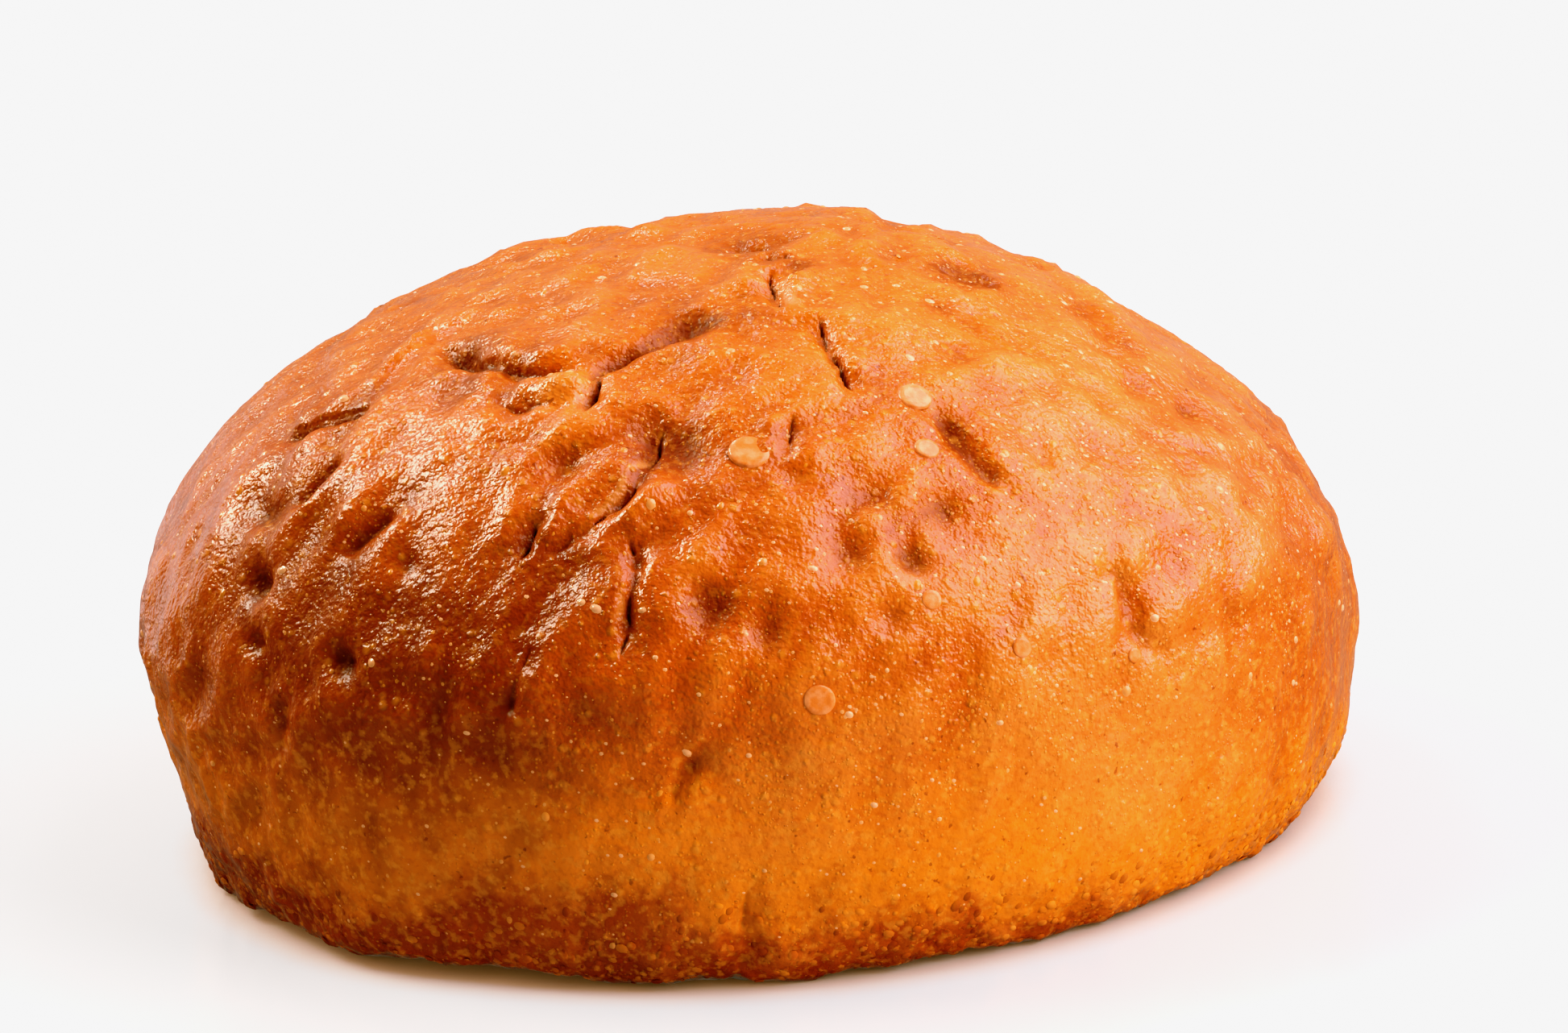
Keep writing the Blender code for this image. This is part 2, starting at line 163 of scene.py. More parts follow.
def add_table():
    """The table with the backdrop that sweeps up from it."""
    angles = [math.pi / 2 * i / SWEEP_STEPS for i in range(SWEEP_STEPS + 1)]
    sweep = [
        (TABLE_BACK + SWEEP_RADIUS * math.sin(a), SWEEP_RADIUS * (1 - math.cos(a))) for a in angles
    ]
    profile = [(TABLE_FRONT, 0), *sweep, (TABLE_BACK + SWEEP_RADIUS, BACKDROP_TOP)]
    points = [(x, y, z) for y, z in profile for x in (-TABLE_HALF_WIDTH, TABLE_HALF_WIDTH)]
    faces = [(2 * i, 2 * i + 1, 2 * i + 3, 2 * i + 2) for i in range(len(profile) - 1)]
    mesh = bpy.data.meshes.new("table")
    mesh.from_pydata(points, [], faces)
    mesh.shade_smooth()
    mesh.materials.append(white_material())
    table = bpy.data.objects.new("table", mesh)
    scene.collection.objects.link(table)
    table.visible_glossy = False
    return table


table = add_table()
print("table of", len(table.data.polygons), "strips")

# %% [markdown]
# ## The light
#
# The room is bright above and behind the bun and dark in front of it, where the camera stands. That is why
# the front of the crust stays so deep in colour while its top is hazy with reflected light. The world does
# this with a smooth ramp: the more a direction points up and back, the brighter it is.

# %% World
BRIGHTEST_WAY = (0.10, 0.87, 0.48)
DARK_ROOM = (0.012, 0.010, 0.010, 1)
BRIGHT_ROOM = (0.28, 0.28, 0.29, 1)
DARK_END, BRIGHT_END = 0.0, 0.9


def set_world():
    """A room that is bright above and behind the bun and dark behind the camera."""
    world = bpy.data.worlds.new("room")
    scene.world = world
    world.use_nodes = True
    tree = world.node_tree
    direction = tree.nodes.new("ShaderNodeTexCoord")
    towards = tree.nodes.new("ShaderNodeVectorMath")
    towards.operation = "DOT_PRODUCT"
    towards.inputs[1].default_value = BRIGHTEST_WAY
    ramp = tree.nodes.new("ShaderNodeValToRGB")
    dark, bright = ramp.color_ramp.elements
    dark.position, dark.color = DARK_END, DARK_ROOM
    bright.position, bright.color = BRIGHT_END, BRIGHT_ROOM
    tree.links.new(direction.outputs["Generated"], towards.inputs[0])
    tree.links.new(towards.outputs["Value"], ramp.inputs["Fac"])
    tree.links.new(ramp.outputs["Color"], tree.nodes["Background"].inputs["Color"])


set_world()
print("world from", DARK_ROOM, "to", BRIGHT_ROOM)

# %% [markdown]
# The picture was developed with deep shadows: its browns hold almost no blue, while the table is nearly
# white. Two tone curves do the same to linear light. The one for the whole picture pulls the darkest values
# further down, leaves the middle alone and stops just short of white. The one for blue takes more of it out
# of the dark and middle values.

# %% Tone curves
TONES = [
    (0.0, 0.0), (0.02, 0.006), (0.05, 0.03), (0.1, 0.077), (0.2, 0.185), (0.4, 0.4), (0.7, 0.71), (1.0, 0.92),
]
BLUE_TONES = [
    (0.0, 0.0), (0.008, 0.004), (0.02, 0.010), (0.06, 0.037), (0.12, 0.092), (0.25, 0.24), (1.0, 1.0),
]
BLUE_CURVE, WHOLE_CURVE = 2, 3


def develop():
    """Sets the tone curves of the picture."""
    view = scene.view_settings
    view.view_transform = "Standard"
    view.use_curve_mapping = True
    for index, tones in ((WHOLE_CURVE, TONES), (BLUE_CURVE, BLUE_TONES)):
        points = view.curve_mapping.curves[index].points
        for tone in tones[1:-1]:
            points.new(*tone)
        points[-1].location = tones[-1]
    view.curve_mapping.extend = "HORIZONTAL"
    view.curve_mapping.update()


develop()
print("tone curves through", len(TONES), "and", len(BLUE_TONES), "points")

# %% [markdown]
# Soft lamps stand in for the windows. A large, faintly blue one at the right gives the wide sheen on that
# side. A smaller, warm one at the left gives the highlights that break up on the bubbles. A weak one low at
# each side lifts the edge of the wall off the dark. A small, hard lamp behind adds a glint to every bubble.
# The fill and the skylight only brighten the crust: the gloss doesn't mirror them, so they don't cover its
# colour. A lamp's place is given by how far round the bun and how far up it hangs, in degrees, and by its
# distance.

# %% Lamps
class Lamp(NamedTuple):
    """A square lamp: its place round the bun, its size, power and colour, and whether gloss mirrors it."""

    turn: float
    rise: float
    distance: float
    size: float
    power: float
    colour: tuple
    mirrored: bool = True


LAMPS = {
    "right window": Lamp(87, 43, 0.9, 0.95, 8.8, (0.99, 0.98, 1.12)),
    "low right window": Lamp(78, 4, 0.9, 0.45, 0.4, (1.0, 0.97, 0.93)),
    "right fill": Lamp(60, 26, 0.9, 0.5, 7.6, (1.0, 0.95, 0.88), mirrored=False),
    "skylight": Lamp(170, 66, 0.8, 0.7, 2.0, (1.0, 0.98, 0.95), mirrored=False),
    "spotlight": Lamp(-150, 58, 0.8, 0.12, 0.8, (1.0, 0.98, 0.94)),
    "left window": Lamp(-106, 46, 0.8, 0.34, 6.0, (1.0, 0.92, 0.74)),
    "left edge": Lamp(-135, 8, 0.9, 0.5, 0.7, (1.0, 0.93, 0.86)),
}


def add_lamp(name, lamp):
    """One area light that faces the bun."""
    turn, rise = math.radians(lamp.turn - 90), math.radians(lamp.rise)
    away = Vector((math.cos(rise) * math.cos(turn), math.cos(rise) * math.sin(turn), math.sin(rise)))
    data = bpy.data.lights.new(name, "AREA")
    data.size = lamp.size
    data.energy = lamp.power
    data.color = lamp.colour
    light = bpy.data.objects.new(name, data)
    light.visible_glossy = lamp.mirrored
    light.location = away * lamp.distance
    light.rotation_euler = away.to_track_quat("Z", "Y").to_euler()
    scene.collection.objects.link(light)


for name, lamp in LAMPS.items():
    add_lamp(name, lamp)
print("lamps:", ", ".join(LAMPS))

# %% [markdown]
# ## Places on the bun
#
# A crust has no straight edges to measure from. So each place on it is given by the way one looks at it
# from a point inside, the heart of the bun: how far round (`turn`, 0 at the front, 90 at the right) and how
# far up (`rise`, 90 at the crown). Such a pair of angles is easy to think in, and it always lands on the
# skin.

# %% Turn and rise
HEART = np.array([-0.649, 0.067, 22.4]) * MM


def unit(vectors):
    """The vectors at a length of 1."""
    return vectors / np.linalg.norm(vectors, axis=1)[:, None]


def ways_of(turns, rises):
    """Unit vectors from the heart, one row for each turn and rise in degrees."""
    around = np.radians(np.asarray(turns, float) - 90)
    up = np.radians(np.asarray(rises, float))
    return np.stack([np.cos(up) * np.cos(around), np.cos(up) * np.sin(around), np.sin(up)], -1)


def turns_of(ways):
    """The turn in degrees of each unit vector, from -180 to 180 with 0 at the front."""
    return (np.degrees(np.arctan2(ways[:, 1], ways[:, 0])) + 270) % 360 - 180


def ease(t):
    """A smooth step from 0 to 1 as t runs from 0 to 1."""
    t = np.clip(t, 0, 1)
    return t * t * (3 - 2 * t)


print("straight up:", ways_of([0], [90]).round(3))

# %% [markdown]
# ## The form of the bun
#
# The dome and the wall below it are superellipses, which are ellipses with squarer or flatter sides. They
# run into each other near the widest level. The crown leans to the right and the foot is a little smaller
# than the belly. The numbers are those of the solid: the fine crust has to have exactly its form. Because
# every point of the skin is found along a way from the heart, a mesh can be made as fine as one likes
# without drifting off the form. Where the dome meets the wall, three neighbouring ways are averaged, which
# takes the edge off.

# %% Main sizes
HALF_WIDTH = 50.0 * MM
HEIGHT = 50.9 * MM
HEART_HEIGHT = 22.4 * MM
OVAL, SKEW = 0.025, 0.022
WIDEST_SLOPE = -0.029
DOME_EXPONENT, DOME_EXPONENT_SIDE = 1.8, -0.375
WALL_EXPONENT, WALL_EXPONENT_SIDE = 4.55, -0.77
DOME_REACH = HEIGHT - HEART_HEIGHT
WALL_REACH, WALL_REACH_SIDE = 30.3 * MM, -2.3 * MM
CROWN_LEAN = 8.6 * MM
FOOT_LEAN = 2.0 * MM
BLEND = 0.13
EDGE_ROUNDING = 0.10
NEARLY_NOTHING = 1e-12


def sharp_reach(ways):
    """Distance from the heart to the dome or the wall along each unit vector, with a sharp edge."""
    above = ways[:, 2] - WIDEST_SLOPE * ways[:, 0]
    dome = ease(above / (2 * BLEND) + 0.5)
    wall = 1 - dome
    lean = dome * CROWN_LEAN / DOME_REACH - wall * FOOT_LEAN / HEART_HEIGHT
    across = ways[:, 0] - lean * above
    plan = np.maximum(np.hypot(across, ways[:, 1]), NEARLY_NOTHING)
    cosine, sine = across / plan, ways[:, 1] / plan
    half_width = HALF_WIDTH * (1 + OVAL * (2 * cosine**2 - 1) + SKEW * 2 * sine * cosine)
    dome_exponent = DOME_EXPONENT + DOME_EXPONENT_SIDE * cosine
    wall_exponent = WALL_EXPONENT + WALL_EXPONENT_SIDE * cosine
    exponent = dome * dome_exponent + wall * wall_exponent
    reach = dome * DOME_REACH + wall * (WALL_REACH + WALL_REACH_SIDE * cosine)
    return ((plan / half_width) ** exponent + (np.abs(above) / reach) ** exponent) ** (-1 / exponent)


def skin_reach(ways):
    """Distance from the heart to the skin along each unit vector, with the edge rounded."""
    up = np.array([0, 0, EDGE_ROUNDING])
    return (2 * sharp_reach(ways) + sharp_reach(unit(ways + up)) + sharp_reach(unit(ways - up))) / 4


print("half width at the right in mm:", (skin_reach(ways_of([90], [0])) / MM).round(2))

# %% [markdown]
# ### The rounded rim
#
# Where the wall meets the tray the dough rounds under, most of all at the front left, where the rim lifts
# and leaves the thin dark gap of the picture. A smooth minimum of "distance to the skin" and "distance to
# the tray" does this: it takes the nearer of the two, and cuts the corner off where they are nearly the
# same.

# %% Rim
RIM_ROUNDING = 2.4 * MM
RIM_LIFT = 4.5 * MM
RIM_LIFT_TURN, RIM_LIFT_SPREAD = -33.0, 25.0
RIM_SEARCH_START = -60.0
RIM_SEARCH_STEPS = 30
LEAST_FALL = 1e-6
SMALL_STEP = 0.002
ASKEW = np.array([0.3, 0.2, 0.93])
HEART_POINT = np.array([0, 0, HEART_HEIGHT])


def tray_reach(ways):
    """Distance from the heart to the tray along each unit vector, very far where it points up."""
    return HEART_HEIGHT / np.maximum(-ways[:, 2], LEAST_FALL)


def rim_rounding(ways):
    """How far from the rim, along the ways, the wall starts to round into the underside."""
    off = (turns_of(ways) - RIM_LIFT_TURN + 180) % 360 - 180
    return RIM_ROUNDING + RIM_LIFT * np.exp(-((off / RIM_LIFT_SPREAD) ** 2))


def smooth_points(ways):
    """Points of the smooth bun along unit vectors from its heart, with the heart above the origin."""
    skin, tray, rounding = skin_reach(ways), tray_reach(ways), rim_rounding(ways)
    overlap = np.maximum(rounding - np.abs(skin - tray), 0) / rounding
    reach = np.minimum(skin, tray) - overlap**2 * rounding / 4
    points = ways * reach[:, None] + HEART_POINT
    points[skin - tray >= rounding, 2] = 0
    return points


def rim_rises(turns):
    """The rise at which the flat underside ends, for each turn."""
    low, high = np.full(len(turns), RIM_SEARCH_START), np.zeros(len(turns))
    for _ in range(RIM_SEARCH_STEPS):
        middle = (low + high) / 2
        ways = ways_of(turns, middle)
        under = skin_reach(ways) - tray_reach(ways) > rim_rounding(ways)
        low, high = np.where(under, middle, low), np.where(under, high, middle)
    return low


def outward(ways):
    """Unit normals of the smooth bun, from two small steps over its skin."""
    side = unit(np.cross(ways, ASKEW))
    here = smooth_points(ways)
    first, second = (
        smooth_points(unit(ways + SMALL_STEP * direction)) - here
        for direction in (side, np.cross(ways, side))
    )
    normals = unit(np.cross(first, second))
    return normals * np.sign(np.sum(normals * ways, axis=1))[:, None]


print("the underside ends at rises of", rim_rises(np.array([-90.0, -33.0, 0.0, 90.0])).round(1))

# %% [markdown]
# ### A grid of cells
#
# A sphere of latitudes and longitudes has a pinched crown, and the pinch would show. A box of square cells,
# blown up onto the bun, keeps its cells nearly square everywhere. The tangents even out the cells of each
# side, and the rows of the wall crowd a little towards the rim.

# %% Box of cells
TOP_CELLS = 116
WALL_ROWS = 58
ROW_CROWDING = 1.15
DOME_START = 22.0
FLATTENING = 0.6
ON_A_FACE = 1e-6
ON_THE_AXIS = 1e-9


def box_of_cells(cells, rows):
    """A closed box with cells by cells squares above and below and rows of them round it."""
    bm = bmesh.new()
    bmesh.ops.create_cube(bm, size=2)
    upright = [e for e in bm.edges if abs(e.verts[0].co.z - e.verts[1].co.z) > 1]
    bmesh.ops.subdivide_edges(bm, edges=upright, cuts=rows - 1, use_grid_fill=True)
    level = [e for e in bm.edges if abs(e.verts[0].co.z - e.verts[1].co.z) < ON_A_FACE]
    bmesh.ops.subdivide_edges(bm, edges=level, cuts=cells - 1, use_grid_fill=True)
    return bm


def points_in(bm):
    """The vertices' points as rows."""
    return np.array([v.co for v in bm.verts])


def place(bm, points):
    """Gives each vertex its point."""
    for vertex, point in zip(bm.verts, points):
        vertex.co = point


def box_points(bm):
    """The point of the smooth bun that each vertex of the box stands for."""
    box = points_in(bm)
    ring = np.maximum(np.maximum(np.abs(box[:, 0]), np.abs(box[:, 1])), ON_THE_AXIS)
    eighth = math.pi / 4
    around = np.arctan2(np.tan(eighth * box[:, 1] / ring), np.tan(eighth * box[:, 0] / ring))
    turns = np.degrees(around) + 90
    rim = rim_rises(turns)
    rim_angle = np.degrees(np.arctan(np.tan(np.radians(rim)) / FLATTENING))
    in_wall = rim_angle + (DOME_START - rim_angle) * ((box[:, 2] + 1) / 2) ** ROW_CROWDING
    in_dome = DOME_START + (90 - DOME_START) * (1 - ring)
    angle = np.radians(np.where(box[:, 2] > 1 - ON_A_FACE, in_dome, in_wall))
    rises = np.degrees(np.arctan2(FLATTENING * np.sin(angle), np.cos(angle)))
    points = smooth_points(ways_of(turns, rises))
    below = (box[:, 2] < -1 + ON_A_FACE) & (ring < 1 - ON_A_FACE)
    points[below] *= ring[below, None]
    points[below, 2] = 0
    return points


grid = box_of_cells(TOP_CELLS, WALL_ROWS)
place(grid, box_points(grid))
print("smooth crust:", len(grid.faces), "cells")

# %% [markdown]
# ## What proving and baking did to it
#
# When the loaf rose, the skin stretched, folded and tore. When it cooled, it sank a little round the air
# pockets. The picture shows a few dozen such marks, each in its own place, so they are named one by one. A
# crease is a path of places with a width, a depth and a raised lip; a dent is a round hollow, or a bump
# where the depth is negative. The solid has the same marks, only softer.

# %% Marks in the crust
class Crease(NamedTuple):
    """A groove in the crust, where the skin folded or pulled apart.

    The core is its sharp bottom, or a thin ridge where it is negative. The step is how much higher the skin
    is on the left of the path.
    """

    path: list
    half_width: float
    depth: float
    lip: float = 0.0
    core: float = 0.0
    step: float = 0.0


class Dent(NamedTuple):
    """A round hollow, or a round bump where the depth is negative."""

    turn: float
    rise: float
    radius: float
    depth: float


def crease(path, *sizes):
    """A crease whose sizes are given in mm."""
    return Crease(path, *(size * MM for size in sizes))


def dent(turn, rise, *sizes):
    """A dent whose sizes are given in mm."""
    return Dent(turn, rise, *(size * MM for size in sizes))


FRONT_CREASES = {
    "long fold": crease(
        [(-49, 28.5), (-53, 27.5), (-56.5, 25.5), (-60, 23.8), (-65.5, 21.7)], 2.4, 1.2, 0.1, 0.1, -0.5,
    ),
    "fold ridge": crease(
        [(-64, 41.5), (-59.5, 37.5), (-58, 34.3), (-55.5, 31.2), (-52.5, 28.2)],
        2.2, -0.9, 0.0, -0.25, -0.2,
    ),
    "upper cavity": crease(
        [(-57, 39.5), (-48, 38), (-42, 37), (-38, 37), (-31, 36), (-26, 37), (-21, 38)],
        2.0, 1.5, 0.2, 0.5, 0.45,
    ),
    "second fold": crease([(-34, 31.5), (-29, 30.5), (-26, 31), (-21, 30.5)], 2.0, 0.9, 0.25, 0.3),
    "long curved crease": crease(
        [(1, 47), (-4, 46.5), (-8.5, 45.5), (-12, 43), (-17, 39.5), (-19.5, 36.5), (-19, 34),
         (-19, 31), (-20, 27.5)], 2.2, 1.7, 0.15, 0.9, 0.35,
    ),
    "middle crack": crease(
        [(-8.5, 30.5), (-9.3, 27.5), (-9.8, 24.8), (-10.6, 22), (-11.6, 20.3), (-13.2, 18.8),
         (-15.8, 16.6)], 1.5, 1.3, 0.1, 0.9, 0.15,
    ),
    "end of the middle crack": crease(
        [(-14, 17.8), (-16, 16.6), (-18, 15.5), (-20.5, 14)], 1.4, 0.9, 0.15,
    ),
    "short slit": crease([(-20.5, 18.5), (-21, 16.5), (-21.5, 14)], 1.4, 1.0, 0.25, 0.6),
    "standing crease": crease(
        [(-11, 17), (-10, 14), (-10, 12), (-10.5, 10), (-10.5, 8), (-11, 5)], 1.5, 1.4, 0.1, 0.7, -0.1,
    ),
    "crown tear": crease([(14, 61), (12, 54), (11.5, 49.5), (13, 47)], 1.6, 1.3, 0.25, 0.6),
    "crown slit": crease([(17, 45.5), (17, 38.5), (17, 34.5), (17, 30)], 1.6, 1.6, 0.1, 1.1, 0.2),
    "crown groove left": crease([(3, 78), (16, 75), (30, 75)], 2.2, 1.5, 0.2, 0.4, 0.15),
    "crown groove right": crease([(16, 68), (20, 65), (26, 66)], 2.0, 1.4, 0.2, 0.3),
    "blister slit": crease([(8, 29.5), (7, 26), (6.5, 23)], 1.5, 0.9, 0.2, 0.4),
    "right valley": crease(
        [(26.5, 29.5), (27.3, 26.8), (28, 23), (29.2, 19.6), (31.5, 16.4)], 2.4, 2.0, 0.15,
    ),
    "right groove": crease([(36.5, 10), (38.5, 6.5), (38.5, 2), (42.5, -2)], 2.6, 1.3),
    "far groove high": crease([(61.5, 52.5), (64, 47.5), (67.5, 43)], 2.4, 0.7),
    "far groove low": crease([(81.5, 35), (69.5, 29)], 2.4, 0.7),
    "left dent": crease([(-49, 22.5), (-49.7, 19), (-50.6, 15.5)], 1.9, 2.0, 0.25),
    "left groove": crease([(-37, 18.3), (-39.2, 15.8), (-42, 12.6)], 1.9, 1.7, 0.3),
    "rim furrow": crease([(-1, -15), (-1.5, -18.5), (-2, -22), (-2.5, -25)], 1.7, 0.6, 0.15, 0.2),
    "left furrow": crease([(-50.5, -11), (-50.5, -15.5), (-51, -20)], 2.0, 0.6),
    "far left furrow": crease([(-59.5, -6), (-58, -10), (-57.5, -14)], 2.2, 0.6),
    "left wall furrow": crease([(-45, 1), (-45.2, -2.6), (-46.7, -6.5)], 1.6, 0.9, 0.2),
    "slanted groove": crease([(-4.6, -3.6), (-6.2, -5.4), (-8, -7.6)], 1.4, 0.8, 0.15),
    "left side fold": crease([(-82, -5), (-76, -6.5), (-72, -9), (-68, -13)], 2.4, 0.8, 0.3, 0.3),
    "bulge edge": crease([(-18.5, 7), (-19.5, 5), (-20.5, 3), (-21, 0)], 2.0, 0.6, 0.2, 0.2),
    "horizon notch": crease([(-134, 53), (-122, 58), (-108, 63)], 2.8, 0.7, 0.2),
}
FRONT_DENTS = {
    "left pit": dent(-38, 4, 1.5, 1.6),
    "left pit high": dent(-51.2, 9.2, 1.6, 1.6),
    "left pit low": dent(-49, 4, 1.4, 1.2),
    "left pit behind": dent(-55, 15, 1.3, 0.9),
    "left pit front": dent(-33.4, 13, 1.2, 0.7),
    "cavity pit": dent(-44.5, 37.8, 1.8, 1.1),
    "tongue": dent(-22, 34.2, 1.6, -0.55),
    "vertical hollow": dent(22.6, 17, 1.4, 0.7),
    "slanted hollow": dent(17, 12.2, 1.3, 0.7),
    "low hollow": dent(13.8, 7.4, 1.4, 0.6),
    "branch hollow": dent(37, 19.6, 1.5, 0.6),
    "shoulder hollow": dent(67.5, 18.8, 1.3, 0.5),
    "shoulder hollow high": dent(49.6, 18.6, 1.2, 0.4),
    "shoulder hollow low": dent(54.3, 10.7, 1.2, 0.4),
    "brown hollow": dent(-19, 10.5, 4.4, 0.35),
    "front hollow": dent(-3, 10, 2.8, 1.1),
    "front hollow low": dent(2, 6.5, 2.4, 0.8),
    "blister hollow": dent(-7, 26.5, 3.6, 1.1),
    "right hollow tall": dent(11, 13.5, 2.4, 0.8),
    "right hollow high": dent(15, 18.5, 2.5, 0.7),
    "right hollow": dent(17, 12, 2.4, 0.7),
    "right streak": dent(21, 16, 2.5, 0.6),
    "band dimple": dent(-5, -4, 2.1, 0.6),
    "crease valley": dent(-8, 46.5, 4.0, 0.9),
    "fold pit": dent(-20, 24.5, 1.9, 0.7),
    "far left hollow": dent(-55, 15, 2.5, 0.7),
    "far right hollow": dent(62, 23.5, 2.5, 0.6),
    "far right hollow low": dent(66, 19.5, 2.4, 0.5),
    "dome hollow": dent(46.5, 39, 2.6, 0.6),
    "dome hollow low": dent(37.5, 35, 2.5, 0.6),
    "front bump": dent(-5.5, 9.5, 1.9, -0.5),
    "front bump low": dent(0, 6.5, 1.9, -0.4),
    "fold bump": dent(-27, 23.5, 2.2, -0.5),
    "right groove ridge": dent(44, 2.5, 3.0, -0.5),
    "right side hollow": dent(91, 3, 6.5, 1.5),
    "right side bulge": dent(86, -7, 6.0, -0.55),
    "right shoulder hollow": dent(105, 25, 10.0, 1.1),
    "left side bulge": dent(-76, 1, 5.0, -0.4),
    "left shoulder hollow": dent(-104, 24, 11.0, 0.35),
    "shoulder bump": dent(-120, 51, 7.0, -0.6),
}
print(len(FRONT_CREASES), "creases and", len(FRONT_DENTS), "dents and bumps that the picture shows")

# %% [markdown]
# The back can't be seen in the picture. It gets marks of the same kind, drawn by a seeded rule, so that
# they are the same on every run. Steps of the golden share spread their heights evenly.

# %% Marks on the back
BACK_TURNS = (100, 262)
BACK_CREASE_COUNT = 9
BACK_DENT_COUNT = 14
BACK_SEED = 11
GOLDEN_SHARE = 0.618
BACK_CREASE_RISES, BACK_RISE_DRIFT = (14, 34), 3
BACK_PATH_STEPS, BACK_BEND = (2, 4), 0.6
BACK_STRIDE_ROUND, BACK_STRIDE_UP = 5.5, 4.5
BACK_DEPTHS, BACK_HALF_WIDTHS = (0.7, 1.6), (1.6, 2.3)
BACK_LIP_SHARE, BACK_CORE_SHARE = 0.2, 0.4
BACK_DENT_RISES, BACK_DENT_SHIFT = (-4, 44), 0.3
BACK_DENT_RADII, BACK_DENT_DEPTH_SHARES = (1.9, 3.4), (0.25, 0.4)


def spread_rise(i, rises, shift=0.0):
    """The rise of mark number i: the lowest one plus a golden share of the range."""
    lowest, reach = rises
    return lowest + reach * ((i * GOLDEN_SHARE + shift) % 1)


def back_creases():
    """Creases like those at the front, over the side that faces away."""
    draw = random.Random(BACK_SEED)
    step = (BACK_TURNS[1] - BACK_TURNS[0]) / BACK_CREASE_COUNT
    creases = []
    for i in range(BACK_CREASE_COUNT):
        turn = BACK_TURNS[0] + step * (i + draw.random())
        rise = spread_rise(i, BACK_CREASE_RISES) + draw.uniform(-BACK_RISE_DRIFT, BACK_RISE_DRIFT)
        heading = draw.uniform(0, math.tau)
        path = [(turn, rise)]
        for _ in range(draw.randint(*BACK_PATH_STEPS)):
            heading += draw.uniform(-BACK_BEND, BACK_BEND)
            turn += BACK_STRIDE_ROUND * math.cos(heading)
            rise += BACK_STRIDE_UP * math.sin(heading)
            path.append((turn, rise))
        depth = draw.uniform(*BACK_DEPTHS) * MM
        half_width = draw.uniform(*BACK_HALF_WIDTHS) * MM
        creases.append(Crease(path, half_width, depth, BACK_LIP_SHARE * depth, BACK_CORE_SHARE * depth))
    return creases


def back_dents():
    """Hollows like those at the front, over the side that faces away."""
    draw = random.Random(BACK_SEED + 1)
    step = (BACK_TURNS[1] - BACK_TURNS[0]) / BACK_DENT_COUNT
    dents = []
    for i in range(BACK_DENT_COUNT):
        turn = BACK_TURNS[0] + step * (i + draw.random())
        rise = spread_rise(i, BACK_DENT_RISES, BACK_DENT_SHIFT)
        radius = draw.uniform(*BACK_DENT_RADII) * MM
        dents.append(Dent(turn, rise, radius, draw.uniform(*BACK_DENT_DEPTH_SHARES) * radius))
    return dents


CREASES = [*FRONT_CREASES.values(), *back_creases()]
DENTS = [*FRONT_DENTS.values(), *back_dents()]
print(len(CREASES), "creases,", len(DENTS), "dents in all")

# %% [markdown]
# ### From paths to grooves
#
# A smooth curve runs through the places of a path. Each point of the skin then asks how far it is from that
# curve, and the answer is turned into a height: down in the groove, up on the lips beside it, and nothing
# further off. The ends fade out. Only the points near a crease are asked, which keeps this quick.

# %% Curves and distances
CREASE_TAPER = 0.28
CURVE_STEPS = 6


def curve_through(path):
    """Points of the smooth bun along a curve through the places of a path."""
    places = np.array([path[0], *path, path[-1]], float)
    rows = []
    for before, start, end, after in zip(places, places[1:], places[2:], places[3:]):
        for k in range(CURVE_STEPS):
            t = k / CURVE_STEPS
            rows.append(
                (2 * t**3 - 3 * t**2 + 1) * start
                + (t**3 - 2 * t**2 + t) * (end - before) / 2
                + (3 * t**2 - 2 * t**3) * end
                + (t**3 - t**2) * (after - start) / 2
            )
    turns, rises = np.array([*rows, places[-1]]).T
    return smooth_points(ways_of(turns, rises))


def distance_to_line(points, line):
    """(distance from each point to a line of points, share of the line's length there, side of it).

    The side is 1 on the left and -1 on the right of someone who walks along the line on the skin.
    """
    nearest = np.full(len(points), np.inf)
    share, side = np.zeros(len(points)), np.zeros(len(points))
    walked = np.concatenate([[0], np.cumsum(np.linalg.norm(np.diff(line, axis=0), axis=1))])
    for i, run in enumerate(np.diff(line, axis=0)):
        t = np.clip((points - line[i]) @ run / (run @ run), 0, 1)
        offsets = points - line[i] - t[:, None] * run
        away = np.linalg.norm(offsets, axis=1)
        closer = away < nearest
        nearest[closer] = away[closer]
        share[closer] = (walked[i] + t * (walked[i + 1] - walked[i]))[closer] / walked[-1]
        left = np.cross(line[i] - HEART_POINT, run)
        side[closer] = np.sign(offsets[closer] @ left)
    return nearest, share, side


def near_line(points, line, reach):
    """Which points are within reach of the ball round a line."""
    middle = line.mean(0)
    radius = np.linalg.norm(line - middle, axis=1).max() + reach
    return np.where(np.linalg.norm(points - middle, axis=1) < radius)[0]


LINES = [curve_through(crease.path) for crease in CREASES]
print("longest crease:", round(max(len(line) for line in LINES)), "points")

# %% [markdown]
# ### Finer cells where they are needed
#
# A torn crease is sharp, and cells of two thirds of a millimetre can't show it. Halving all of them would
# cost four times the faces. So only the cells within reach of a crease are halved, and those right at its
# core once more.

# %% Split the cells near creases
CREASE_SPLIT_REACH = 1.9 * MM
CORE_SPLIT_REACH = 0.65 * MM
TRAY_CLEARANCE = 0.5 * MM


